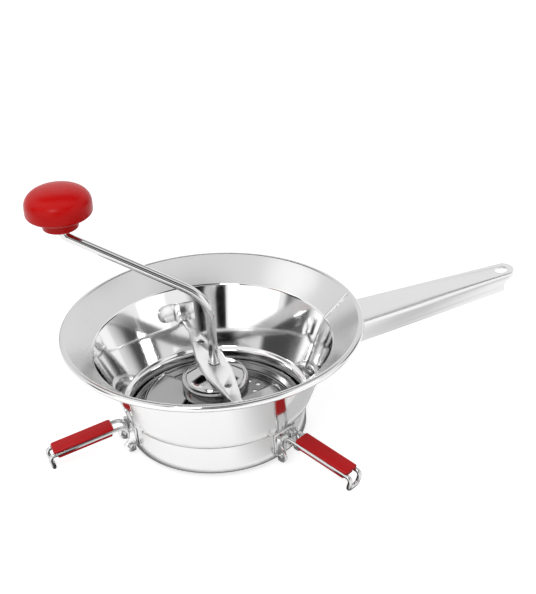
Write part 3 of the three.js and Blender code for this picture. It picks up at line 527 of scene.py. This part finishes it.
# %% [markdown]
# ## The bowl
# One sheet, spun: an inward flange under the disc, a short upright wall, the narrow ledge that the
# mill stands on in a pot, the cone, a flared lip and a rim that is rolled over a good three
# quarters of a turn. The rolled rim is a fine arc, because its highlight runs all round the bowl.
# Cones and cylinders could be joined instead, but one section that is spun keeps the sheet equally
# thick through every bend, and a reflection runs over the bends without a break.
# %% Bowl
SHEET = 0.8
FLANGE_EDGE, BOTTOM, LOWER_WALL, LEDGE_HEIGHT = 66, 5.4, 71.2, 30
CONE_FOOT, CREASE = (75.1, 32.0), (95.3, 81)
RIM_CENTRE, RIM_ROLL, RIM_TURN, RIM_STEPS = (117.1, 96.5), 2.5, 285, 24


def rolled_rim():
    """Points of the roll, from where the lip meets it to its tucked-in end."""
    across, up = RIM_CENTRE[0] - CREASE[0], RIM_CENTRE[1] - CREASE[1]
    start = atan2(up, across) + asin(RIM_ROLL / hypot(across, up)) + pi / 2
    angles = [start - radians(RIM_TURN) * i / RIM_STEPS for i in range(RIM_STEPS + 1)]
    return [Vector((RIM_CENTRE[0] + RIM_ROLL * cos(angle), RIM_CENTRE[1] + RIM_ROLL * sin(angle)))
            for angle in angles]


roll = rolled_rim()
wall = eased([(FLANGE_EDGE, BOTTOM), (LOWER_WALL, BOTTOM), (LOWER_WALL, LEDGE_HEIGHT), CONE_FOOT,
              CREASE, roll[0]], [1.6, 3, 2.2, 4])
bowl = spun("bowl_shell", wall + roll[1:], 128, SHEET)
print("the bowl's section has", len(wall) + len(roll) - 1, "points")

# %% [markdown]
# ### Three grades of polish
# The bowl is mirror bright inside, where food must not stick, satin on the lip and softly polished
# outside. The finishes meet at the crease and on the rim's crown, so each face is given its finish
# by where it lies and which way it looks, and no cut is needed.
# %% Polish of the bowl
INSIDE, LIP = 1, 2
LIP_START, ROLL_START, LEDGE_END = 95.6, 114.4, 74
for finish in (outside_steel, mirror_steel, satin_steel):
    bowl.data.materials.append(finish)
for face in bowl.data.polygons:
    middle = (bowl.matrix_world @ face.center - AXIS) / MM
    outward = Vector((middle.x, middle.y, 0)).normalized()
    radius = hypot(middle.x, middle.y)
    facing = face.normal.dot(outward)
    looks_in = facing < -0.05 or (radius < LEDGE_END and face.normal.z > 0.5)
    on_crown = radius > ROLL_START and facing < 0.6 and face.normal.z > 0
    if looks_in or on_crown:
        face.material_index = LIP if radius > LIP_START else INSIDE
finish_piece(bowl, "frame", None, ["bowl"])


# %% [markdown]
# ### The lap seam
# The cone is rolled from a flat blank, and its two ends overlap and are welded inside, in line with
# the handle. The seam shows as a raised strip from the lip down to the ledge. It follows the wall's
# section a hair inside it: the two straight lines of the cone and the lip are moved inwards, and
# where they cross is the strip's bend. Then the line is widened and given a little thickness.
# %% Seam
SEAM_WIDTH, SEAM_SHEET, SEAM_GAP = 3.2, 0.4, 0.15


def inward(before, after, distance):
    """A line of the section moved to the wall's inner side: a point and a heading."""
    heading = (Vector(after) - Vector(before)).normalized()
    return Vector(before) + Vector((-heading.y, heading.x)) * distance, heading


def crossing(first, second):
    """Where two such lines meet."""
    (a, u), (b, v) = first, second
    return a + u * ((b - a).cross(v) / u.cross(v))


stand = SHEET / 2 + SEAM_GAP
cone_line = inward(CONE_FOOT, CREASE, stand)
lip_line = inward(CREASE, roll[0], stand)
bend = crossing(cone_line, lip_line)
low = cone_line[0] + cone_line[1] * 3
high = lip_line[0] + lip_line[1] * (roll[0] - Vector(CREASE)).length
seam = draw_section("lap_seam", eased([low, bend, high], [4 + stand], 8))
bpy.ops.mesh.select_all(action="SELECT")
bpy.ops.transform.translate(value=(0, -SEAM_WIDTH / 2 * MM, 0))
bpy.ops.mesh.extrude_region_move(TRANSFORM_OT_translate={"value": (0, SEAM_WIDTH * MM, 0)})
merge_and_face_outwards()
bpy.ops.object.mode_set(mode="OBJECT")
give_thickness(seam, SEAM_SHEET)
soften_edges(seam, 0.12)
finish_piece(seam, "frame", mirror_steel)
print("the seam stands", round(SEAM_GAP + SEAM_SHEET / 2, 2), "mm off the wall")

# %% [markdown]
# ## The crank
# A 7.5 mm rod is bent twice: a wide bend over the bowl and a tight one under the knob, where the
# rod turns upright and disappears into the knob's neck. It is drawn from its foot under the disc
# to its hidden end in the knob, in the upright plane of the crank's arm. Straight cylinders with
# elbows would show a seam at each joint, and one bent rod has none.
# %% Crank rod
ROD = 7.5
ARM = radians(150)              # bearing of the arm at rest
REACH = 113.8                   # from the crank's axis to the knob's
ROD_FOOT, WIDE_BEND, TIGHT_BEND, ROD_END = 8.2, 121.2, 171.4, 200.2


def along_arm(reach, height):
    return place(reach * cos(ARM), reach * sin(ARM), height)


rod = bent_rod("crank_bar", ROD, [along_arm(0, ROD_FOOT), along_arm(0, WIDE_BEND),
                                  along_arm(REACH, TIGHT_BEND), along_arm(REACH, ROD_END)],
               [30, 9], sides=28)
print("rod of", len(rod.data.vertices), "vertices")

# %% [markdown]
# ### Ears and flats
# Two ears are swaged out of the rod where it rests on the bridge, and two flats lower down carry
# the blade round. Both start as blocks: the flats are what is left when a block is taken away on
# each side, and the ears are a block with a narrower top and round edges, joined to the rod.
# %% Ears and flats
FLAT_SIZE, FLAT_HEIGHT, FLAT_REACH = (12, 4, 2.4), 28.85, 2.9
EAR_SIZE, EAR_HEIGHT, EAR_TAPER = (10.2, 4.4, 4), 64.3, 0.72


def block(name, size, at, turn=0):
    """A cube primitive of a size in mm, centred on a place, turned about its own upright axis."""
    clear_selection()
    bpy.ops.mesh.primitive_cube_add(size=1, location=at, rotation=(0, 0, turn))
    piece = bpy.context.object
    piece.name = piece.data.name = name
    piece.scale = [side * MM for side in size]
    bpy.ops.object.transform_apply(location=False, rotation=False, scale=True)
    return piece


across_arm = Vector((-sin(ARM), cos(ARM), 0))
for side in (1, -1):
    away = across_arm * side * (FLAT_REACH + FLAT_SIZE[1] / 2) * MM
    flat = block("flat", FLAT_SIZE, along_arm(0, FLAT_HEIGHT) + away, ARM)
    combine(rod, flat, "DIFFERENCE")
ears = block("ears", EAR_SIZE, along_arm(0, EAR_HEIGHT), ARM)
bpy.ops.object.mode_set(mode="EDIT")
bpy.ops.mesh.select_all(action="DESELECT")
bpy.ops.object.mode_set(mode="OBJECT")
for vertex in ears.data.vertices:
    vertex.select = vertex.co.z > 0
bpy.ops.object.mode_set(mode="EDIT")
bpy.ops.transform.resize(value=(EAR_TAPER, EAR_TAPER, 1))
bpy.ops.object.mode_set(mode="OBJECT")
soften_edges(ears, 0.9, segments=3)
combine(rod, ears, "UNION")
soften_edges(rod, 0.25, angle=50)
finish_piece(rod, "crank", rod_steel, ["crank_rod"], smooth=40)

# %% [markdown]
# ## The knob
# A mushroom of glossy plastic, moulded round a bore for the rod: a short neck, a deep undercut and
# a cap whose sides stand upright before they roll over into a full dome. The dome is a
# superellipse, a formula that is squarer in the shoulder than a plain ellipse, and the whole is
# spun about the knob's own axis. A squashed sphere is quicker, but its shoulder is too thin.
# %% Knob
KNOB_AXIS = (REACH * cos(ARM), REACH * sin(ARM))
KNOB_RADIUS, KNOB_NECK, KNOB_BORE = 26.5, 14.3, 4.15
NECK_FOOT, CAP_FOOT, DOME_FOOT, DOME_HEIGHT, BORE_TOP = 178.2, 189, 197, 14.7, 200.6
FULLNESS, DOME_STEPS = 2.4, 22


def dome():
    """The dome's section from its foot up, without its top point."""
    angles = [pi / 2 * i / DOME_STEPS for i in range(DOME_STEPS)]
    return [Vector((KNOB_RADIUS * cos(angle) ** (2 / FULLNESS),
                    DOME_FOOT + DOME_HEIGHT * sin(angle) ** (2 / FULLNESS))) for angle in angles]


lower = eased([(0, BORE_TOP), (KNOB_BORE, BORE_TOP), (KNOB_BORE, NECK_FOOT),
               (KNOB_NECK, NECK_FOOT), (KNOB_NECK, CAP_FOOT), (KNOB_RADIUS, CAP_FOOT),
               (KNOB_RADIUS, DOME_FOOT)], [0, 0.5, 0.9, 1.2, 3.2])
top = Vector((0, DOME_FOOT + DOME_HEIGHT))
knob = spun("knob_cap", lower + dome()[1:] + [top], 96, centre=KNOB_AXIS)
finish_piece(knob, "knob_body", knob_plastic, ["knob"], smooth=50)

# %% [markdown]
# ## Bridge and clips
# The bridge is a pressed channel whose flat ends step down and hook under two small loops of strip,
# spot-welded to the wall. They could be extruded and bent anew, but their outlines are the packed
# solids' own, so these are copied, cleaned and given the soft corners of pressed sheet.
# %% Bridge and clips
bridge = copy_of_solid("bridge", "bridge_plate", 0.45)
finish_piece(bridge, "bridge_body", bridge_steel, ["bridge"])
for side in ("back", "front"):
    clip = copy_of_solid(f"clip_{side}", f"clip_strip_{side}", 0.12, flats=0.05)
    finish_piece(clip, "frame", strip_steel, [f"clip_{side}"])

# %% [markdown]
# ## Disc
# The disc is pressed from one sheet: a skirt that stands in the bowl, a raised rim, a step and a
# flat face with a bore for the rod. Then it is pierced. One round punch is modelled and copied to
# every hole, the copies are joined, and they are taken away from the disc in one cut, which is much
# quicker than a cut for each hole.
# %% Perforated disc
DISC_EDGE, DISC_TOP, DISC_STEP, DISC_FACE, DISC_BORE = 69.15, 22.75, 18.85, 14.95, 4.8
DISC_SKIRT, DISC_SHEET = 6.1, 0.9
HOLE, HOLE_PITCH, FIRST_RING, LAST_RING, PUNCH_HEIGHT = 4.2, 9, 15, 51, 15
disc = spun("disc_sheet", eased(
    [(DISC_EDGE, DISC_SKIRT), (DISC_EDGE, DISC_TOP), (65.0, DISC_TOP), (62.6, DISC_STEP),
     (61.0, DISC_STEP), (59.4, DISC_FACE), (DISC_BORE, DISC_FACE)],
    [1.1, 1.1, 0.8, 0.8, 0.8]), 112, DISC_SHEET)
holes = []
for ring in range(FIRST_RING, LAST_RING + 1, HOLE_PITCH):
    count = int(2 * pi * ring / HOLE_PITCH)
    bearings = [2 * pi * i / count for i in range(count)]
    holes += [place(ring * cos(bearing), ring * sin(bearing), PUNCH_HEIGHT)
              for bearing in bearings]
clear_selection()
bpy.ops.mesh.primitive_cylinder_add(vertices=16, radius=HOLE / 2 * MM, depth=6 * MM,
                                    location=holes[0])
punch = bpy.context.object
for hole in holes[1:]:
    copy = punch.copy()
    copy.data = punch.data.copy()
    copy.location = hole
    bpy.context.scene.collection.objects.link(copy)
    copy.select_set(True)
bpy.ops.object.join()
combine(disc, punch, "DIFFERENCE")
finish_piece(disc, "frame", shaded_disc_steel, ["disc"])
print(len(holes), "holes in the disc")

# %% [markdown]
# ## Blade
# The blade's wing is one slow turn of a screw that presses the food down on the disc as it comes
# round, with a low upright edge along the wall. The Screw modifier makes just that from a section:
# it turns it about the piece's origin and lifts it at the same time, so the origin is first moved
# onto the crank's axis. The boss in the middle is a spun cup that hides the rod's flats.
# %% Blade
BLADE_SHEET, BLADE_TURN, BLADE_RISE, BLADE_START = 1.2, -262, 12, 20
WING_ROOT, WING_EDGE, WING_FOOT, WING_LIP = 12, 58.6, 16.4, 19
BOSS_RADIUS, BOSS_FOOT, BOSS_TOP = 11.9, 15.8, 29.2


def put_origin_on_axis(piece):
    make_active(piece)
    bpy.context.scene.cursor.location = AXIS
    bpy.ops.object.origin_set(type="ORIGIN_CURSOR")


wing = draw_section("blade_wing", eased([(WING_ROOT, WING_FOOT), (WING_EDGE, WING_FOOT),
                                         (WING_EDGE, WING_LIP)], [1.6]))
put_origin_on_axis(wing)
apply_modifier(wing, "SCREW", angle=radians(BLADE_TURN), screw_offset=BLADE_RISE * MM, steps=72,
               render_steps=72, use_merge_vertices=True, axis="Z")
wing.rotation_euler = (0, 0, radians(BLADE_START))
bpy.ops.object.mode_set(mode="EDIT")
merge_and_face_outwards()
bpy.ops.object.mode_set(mode="OBJECT")
give_thickness(wing, BLADE_SHEET)
soften_edges(wing, 0.2)
finish_piece(wing, "crank", shaded_blade_steel, ["blade"])
boss = spun("blade_boss", eased([(0, BOSS_TOP), (BOSS_RADIUS, BOSS_TOP),
                                 (BOSS_RADIUS, BOSS_FOOT)], [2.2]), 64, BLADE_SHEET)
finish_piece(boss, "crank", shaded_blade_steel, ["blade"])

# %% [markdown]
# ## Spring
# A coil spring stands on the boss and keeps the blade pressed to the disc. It is one circle, stood
# upright beside the axis and turned round it by the Screw modifier, five times. The modifier
# leaves two open ends: they are the only edges with a single face, so they can be selected as
# such and closed.
# %% Spring
SPRING_RADIUS, SPRING_WIRE, SPRING_FOOT, SPRING_PITCH, SPRING_COILS = 9, 2.2, 31.2, 4.8, 5
spring_low, spring_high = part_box("spring")
clear_selection()
bpy.ops.mesh.primitive_circle_add(vertices=14, radius=SPRING_WIRE / 2 * MM,
                                  location=place(SPRING_RADIUS, 0, SPRING_FOOT),
                                  rotation=(pi / 2, 0, 0))
coil = bpy.context.object
coil.name = coil.data.name = "spring_coil"
bpy.ops.object.transform_apply(location=False, rotation=True, scale=True)
put_origin_on_axis(coil)
apply_modifier(coil, "SCREW", angle=2 * pi, screw_offset=SPRING_PITCH * MM,
               iterations=SPRING_COILS, steps=32, render_steps=32, axis="Z")
bpy.ops.object.mode_set(mode="EDIT")
bpy.ops.mesh.select_all(action="DESELECT")
bpy.ops.mesh.select_non_manifold()
bpy.ops.mesh.edge_face_add()
merge_and_face_outwards()
bpy.ops.object.mode_set(mode="OBJECT")
finish_piece(coil, "crank", wire_steel, ["spring"])
print("spring from", round(spring_low.z / MM, 2), "to", round(spring_high.z / MM, 2),
      "mm in the packed model")

# %% [markdown]
# ## Cover and spacer
# A deep-drawn cover keeps food out of the spring, and a turned ring keeps it off the bridge. Both
# are spun: the cover from one line of sheet, the ring from a closed section whose corners are eased
# where they show. A half sphere could stand for the cover, but its crown is flat and its side
# upright.
# %% Cover and spacer
COVER_RADIUS, COVER_FLAT, COVER_BORE, COVER_SHEET = 26.55, 13, 4.2, 0.9
COVER_FOOT, COVER_SHOULDER, COVER_CROWN = 38, 52, 57.05
RING_BORE, RING_EDGE, RING_FOOT, RING_TOP = 4.15, 8.6, 57.9, 60.2
cover = spun("cover_dome", eased([(COVER_RADIUS, COVER_FOOT), (COVER_RADIUS, COVER_SHOULDER),
                                  (COVER_FLAT, COVER_CROWN), (COVER_BORE, COVER_CROWN)],
                                 [7, 4]), 96, COVER_SHEET)
finish_piece(cover, "crank", shaded_cover_steel, ["spring_cover"])
spacer = spun("cover_ring", eased([(RING_BORE, RING_FOOT), (RING_EDGE, RING_FOOT),
                                   (RING_EDGE, RING_TOP), (RING_BORE, RING_TOP),
                                   (RING_BORE, RING_FOOT)], [0.4, 0.4, 0.4]), 48)
finish_piece(spacer, "crank", rod_steel, ["cover_spacer"])

# %% [markdown]
# ## Handle
# A channel pressed from strip, open below: it tapers towards a round end with a hanging hole, and
# two tabs are welded to the bowl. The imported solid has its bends, so its copy only needs a fine
# bevel on the cut edges, which is what catches the light on thin sheet.
# %% Handle
handle = copy_of_solid("handle", "handle_channel", 0.2)
finish_piece(handle, "frame", brushed_steel, ["handle"])

# %% [markdown]
# ## The folding feet
# Each foot is one wire: from a pin through one ear of its bracket, up and over in an arch, straight
# out along the grip, down and back in a loop that stands on the table, and the same way back. Half
# of the corners are given, the other half mirrors them. One foot is modelled, pointing along +X,
# and is later copied to its three bearings. Three wires modelled one by one would never be quite
# alike, and here one change of a size changes them all.
# %% One foot's wire
WIRE, WIRE_SIDE, WIRE_BEND, WIRE_ARCH = 3.5, 5.8, 3.6, 7
PIN_REACH, PIN_END, PIN_HEIGHT, LOOP_HEIGHT = 75.5, 12.05, 9.5, 1.86
GRIP_START, GRIP_LENGTH, GRIP_TOP, GRIP_TILT = 88, 50.5, 28, radians(11.3)


def groove(reach):
    """Height of the wires along the grip, in mm."""
    return GRIP_TOP - 4.1 / cos(GRIP_TILT) - (reach - GRIP_START) * tan(GRIP_TILT)


hook = GRIP_START + GRIP_LENGTH * cos(GRIP_TILT) + 3.8
half = [(PIN_REACH, PIN_END, PIN_HEIGHT), (PIN_REACH, WIRE_SIDE, PIN_HEIGHT),
        (PIN_REACH, WIRE_SIDE, groove(PIN_REACH)), (hook, WIRE_SIDE, groove(hook)),
        (hook - 3.7, WIRE_SIDE, LOOP_HEIGHT)]
other_half = [(x, -y, z) for x, y, z in reversed(half)]
way_out = [WIRE_BEND, WIRE_ARCH, WIRE_BEND, WIRE_BEND]
wire = bent_rod("foot_loop", WIRE, [place(*point) for point in half + other_half],
                way_out + way_out[::-1], sides=16)
soften_edges(wire, 0.4, angle=50)
print("the foot's loop reaches", round(hook + WIRE / 2, 1), "mm from the crank's axis")

# %% [markdown]
# ### Three feet
# The plastic grip snaps over the two wires, and the bracket is a strip with two ears, welded to the
# wall. Both are clean copies of one foot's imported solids. A copy with its own mesh is turned to
# each bearing. The wire and the grip ride on the foot's body, while the bracket stays with the
# bowl.
# %% Three feet
SOLID_BEARING = 180             # the left foot's, which the grip and bracket are copied from
grip = copy_of_solid("foot_grip_left", "grip_sleeve", 0.45)
bracket = copy_of_solid("foot_bracket_left", "bracket_plate", 0.25)
for side, bearing in (("left", 180), ("right", 300), ("back", 60)):
    loop = turned_copy(wire, f"foot_loop_{side}", bearing)
    finish_piece(loop, f"foot_{side}", wire_steel, [f"foot_wire_{side}"],
                 smooth=45)
    sleeve = turned_copy(grip, f"grip_sleeve_{side}", bearing - SOLID_BEARING)
    finish_piece(sleeve, f"foot_{side}", grip_plastic, [f"foot_grip_{side}"])
    plate = turned_copy(bracket, f"bracket_plate_{side}", bearing - SOLID_BEARING)
    finish_piece(plate, "frame", strip_steel, [f"foot_bracket_{side}"])
for model in (wire, grip, bracket):
    bpy.data.objects.remove(model)

# %% [markdown]
# ## The nut
# The nut that holds the blade on the rod is out of sight under the disc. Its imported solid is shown
# as it is and only gets the rod's finish.
# %% Nut
nut = frame["nodes"]["blade_nut"]
nut.data.materials.clear()
nut.data.materials.append(rod_steel)
print("carried over:", nut.name)

# %% [markdown]
# ## Floor and background
# Polished steel shows its surroundings more than its own colour, so the studio is part of the
# finish. The world and the floor are white for rays that see them directly or in a reflection, and
# dimmer for the light that they give, or all shading would wash out. A Light Path node tells the
# two kinds of ray apart. A picture of a real studio would give reflections too, but one that is
# built here can be set until each line in the steel falls where it should.
# %% World and floor
ROOM_LIGHT, BACKDROP, FLOOR_SHADE, FLOOR_LIFT, FLOOR_SIZE = 0.48, 1.0, 0.62, 0.72, 12
WHITE = (1, 1, 1, 1)
scene.view_settings.view_transform = "Standard"


def seen_directly(tree):
    """1 for rays that should see a clean white background: camera, glossy and transmission."""
    rays = add_node(tree, "ShaderNodeLightPath")
    seen = add_node(tree, "ShaderNodeMath", {
        0: (rays, "Is Camera Ray"), 1: (rays, "Is Glossy Ray")}, operation="MAXIMUM")
    return add_node(tree, "ShaderNodeMath", {0: seen, 1: (rays, "Is Transmission Ray")},
                    operation="MAXIMUM")


world = bpy.data.worlds.new("white studio")
scene.world = world
world.use_nodes = True
tree = world.node_tree
tree.nodes.clear()
room = add_node(tree, "ShaderNodeBackground", {"Color": WHITE, "Strength": ROOM_LIGHT})
backdrop = add_node(tree, "ShaderNodeBackground", {"Color": WHITE, "Strength": BACKDROP})
mixed = add_node(tree, "ShaderNodeMixShader", {0: seen_directly(tree), 1: room, 2: backdrop})
add_node(tree, "ShaderNodeOutputWorld", {"Surface": mixed})

# Matt backdrop paper: no edge against the white room, and a soft grey shadow under the mill.
floor_finish, tree, surface = new_material("pale studio floor")
paper = add_node(tree, "ShaderNodeBsdfDiffuse", {"Color": (FLOOR_SHADE,) * 3 + (1,)})
lift = add_node(tree, "ShaderNodeMath", {0: seen_directly(tree), 1: FLOOR_LIFT},
                operation="MULTIPLY")
glow = add_node(tree, "ShaderNodeEmission", {"Color": WHITE, "Strength": lift})
both = add_node(tree, "ShaderNodeAddShader", {0: paper, 1: glow})
link(tree, both, surface_output(tree), "Surface")
clear_selection()
bpy.ops.mesh.primitive_plane_add(size=FLOOR_SIZE, location=(0, 0, 0))
floor = bpy.context.object
floor.name = "floor"
floor.data.materials.append(floor_finish)
print("floor of", FLOOR_SIZE, "m, room light", ROOM_LIGHT)

# %% [markdown]
# ## Soft lamps
# A wide softbox overhead lights everything evenly, and is hidden from reflections, where it would
# burn out the lip. The others stand where the steel mirrors them: they put bright panels on the
# walls and a bloom on the knob. Directions are given as seen from the mill: an angle to the
# right of the camera, and an elevation.
# %% Soft lamps
CAMERA_BEARING = atan2(camera.location.y - AXIS.y, camera.location.x - AXIS.x)
BOWL_MIDDLE = AXIS + Vector((0, 0, 70 * MM))


def toward(right, elevation, distance):
    """A place in a direction from the bowl: degrees to the camera's right, and degrees up."""
    bearing, up = CAMERA_BEARING + radians(right), radians(elevation)
    heading = Vector((cos(bearing) * cos(up), sin(bearing) * cos(up), sin(up)))
    return BOWL_MIDDLE + heading * distance


def facing_bowl(at):
    return (BOWL_MIDDLE - at).to_track_quat("-Z", "Y")


def soft_lamp(name, right, elevation, distance, size, brightness, mirrored=True):
    """A soft box in metres whose face is as bright as white paper times the brightness."""
    lamp = bpy.data.lights.new(name, "AREA")
    lamp.shape = "RECTANGLE"
    lamp.size, lamp.size_y = size
    lamp.energy = brightness * pi * size[0] * size[1]
    holder = bpy.data.objects.new(name, lamp)
    scene.collection.objects.link(holder)
    holder.location = toward(right, elevation, distance)
    holder.rotation_mode = "QUATERNION"
    holder.rotation_quaternion = facing_bowl(holder.location)
    holder.visible_glossy = mirrored


soft_lamp("top softbox", -15, 76, 1.5, (1.5, 1.3), 1.0, mirrored=False)
soft_lamp("window", -46, 14, 1.7, (1.6, 0.9), 0.5)
soft_lamp("right softbox", 60, 20, 1.7, (0.9, 0.9), 0.35)
soft_lamp("high softbox on the left", -105, 52, 1.6, (0.7, 0.7), 0.5)
soft_lamp("key lamp", -24, 46, 1.5, (0.36, 0.28), 12.0)

# %% [markdown]
# ## Black cards
# In a white room polished steel looks like white paper. A product studio gives it its dark lines
# with black cards, and so does this one. Each card has soft edges, for a reflection that fades: a
# mask mixes the card's paper with a transparent shader. A card is seen in reflections
# only, and casts no shadow.
# %% Black cards
BLACK, CARD_EDGE = "#0A0A0A", 0.5


def card_finish(name, shade, opacity, steps):
    """Matt paper that fades. A step is a measure, where it is still clear, and where it is full."""
    finish, tree, surface = new_material(name)
    surface.inputs["Base Color"].default_value = linear(shade)
    surface.inputs["Roughness"].default_value = 1.0
    surface.inputs["Specular IOR Level"].default_value = 0.0
    coordinates = add_node(tree, "ShaderNodeTexCoord")
    parts = add_node(tree, "ShaderNodeSeparateXYZ", {0: (coordinates, "Object")})
    reach = add_node(tree, "ShaderNodeVectorMath", {0: (coordinates, "Object")},
                     operation="LENGTH")
    measures = {"X": (parts, "X"), "Y": (parts, "Y"), "reach": (reach, "Value")}
    mask = opacity
    for measure, clear_at, full_at in steps:
        fade = add_node(tree, "ShaderNodeMapRange", {
            "Value": measures[measure], "From Min": clear_at, "From Max": full_at},
            interpolation_type="SMOOTHSTEP")
        mask = add_node(tree, "ShaderNodeMath", {0: fade, 1: mask}, operation="MULTIPLY")
    clear = add_node(tree, "ShaderNodeBsdfTransparent")
    mixed = add_node(tree, "ShaderNodeMixShader", {0: mask, 1: clear, 2: surface})
    link(tree, mixed, surface_output(tree), "Surface")
    return finish


def soft_edges(left, right, low, high):
    """Steps for a card's four edges, each as a share of the card."""
    return [("X", -CARD_EDGE, -CARD_EDGE + left), ("X", CARD_EDGE, CARD_EDGE - right),
            ("Y", -CARD_EDGE, -CARD_EDGE + low), ("Y", CARD_EDGE, CARD_EDGE - high)]


def stage_card(name, finish):
    """Names the plane just added, gives it its paper and hides it from all but reflections."""
    card = bpy.context.object
    card.name = name
    card.data.materials.append(finish)
    card.visible_camera = False
    card.visible_shadow = False
    card.visible_diffuse = False
    return card


def black_card(name, right, elevation, distance, size, edges, shade=BLACK, opacity=1.0):
    """An upright card that faces the bowl, in metres."""
    clear_selection()
    bpy.ops.mesh.primitive_plane_add(size=1, location=toward(right, elevation, distance))
    card = stage_card(name, card_finish(name, shade, opacity, soft_edges(*edges)))
    card.scale = (size[0], size[1], 1)
    card.rotation_mode = "QUATERNION"
    card.rotation_quaternion = facing_bowl(card.location)


black_card("card behind the camera", 4, 19, 2.2, (1.6, 1.0), (0.03, 0.35, 0.2, 0.2))
black_card("high card in front", 8, 52, 1.9, (3.3, 1.3), (0.2,) * 4, opacity=0.92)
black_card("card at the camera's left", -88, 18, 2.2, (1.0, 1.2), (0.3,) * 4, "#262626")
black_card("card on the right", 112, 12, 2.2, (1.6, 1.0), (0.3,) * 4, "#1C1C1C")
black_card("card behind on the left", -152, 10, 2.2, (1.2, 0.7), (0.3,) * 4, opacity=0.5)
black_card("high card behind", 180, 63, 1.9, (3.0, 0.9), (0.2,) * 4, "#0E0E0E")

# %% [markdown]
# ## Papers and painted shade on the floor
# The outside of the cone, the rim's underside and the handle's side look down, so they mirror the
# floor. Soft papers that lie just over it draw the line under the rim. The rest is painted shade:
# a dark disc under the bowl is its contact shadow and draws the line under the ledge, and grey
# patches paint the floor's shade at the cone's sides and the handle's shadow. A ring's finish
# fades with the distance from its middle. The lines could be painted into the steel, but then
# they would not move when the mill does.
# %% Papers and painted shade on the floor
PAINTED_SHADE_HEIGHT = 0.8


def shade_patch_on_floor(name, right, distance, size, opacity):
    """A soft patch of painted floor shade, in mm: its size is along and across its direction from the
    bowl.
    """
    at = toward(right, 0, distance * MM)
    clear_selection()
    bpy.ops.mesh.primitive_plane_add(size=1, location=(at.x, at.y, PAINTED_SHADE_HEIGHT * MM),
                                     rotation=(0, 0, CAMERA_BEARING + radians(right)))
    card = stage_card(name, card_finish(name, BLACK, opacity, soft_edges(*(0.45,) * 4)))
    card.scale = (size[0] * MM, size[1] * MM, 1)


def floor_ring(name, height, inner, outer, blur, opacity, right=0, lean=None):
    """A soft ring round the axis in mm; lean is two places on its X between which it fades."""
    steps = [("reach", (inner - blur) * MM, inner * MM), ("reach", (outer + blur) * MM, outer * MM)]
    if lean:
        steps.append(("X", lean[0] * MM, lean[1] * MM))
    clear_selection()
    bpy.ops.mesh.primitive_circle_add(vertices=64, radius=(outer + blur) * MM, fill_type="NGON",
                                      location=place(0, 0, height),
                                      rotation=(0, 0, CAMERA_BEARING + radians(right)))
    stage_card(name, card_finish(name, BLACK, opacity, steps))


floor_ring("black paper round the mill", 0.8, 120, 138, 8, 0.95)
# Painted contact shadow: a dark disc under the bowl that the foot and the ledge mirror as its shade.
floor_ring("painted contact shadow under the bowl", 0.85, 0, 76, 5, 0.8)
# Painted shade on the floor at the cone's sides, which the outside of the cone mirrors.
shade_patch_on_floor("painted floor shade on the left", -86, 104, (60, 62), 0.6)
floor_ring("painted floor shade on the right", 0.9, 84, 122, 6, 0.38, right=90, lean=(8, 66))
# Painted shadow of the handle on the floor, which the handle's side mirrors.
shade_patch_on_floor("painted shadow of the handle on the floor", 85, 290, (430, 110), 0.42)
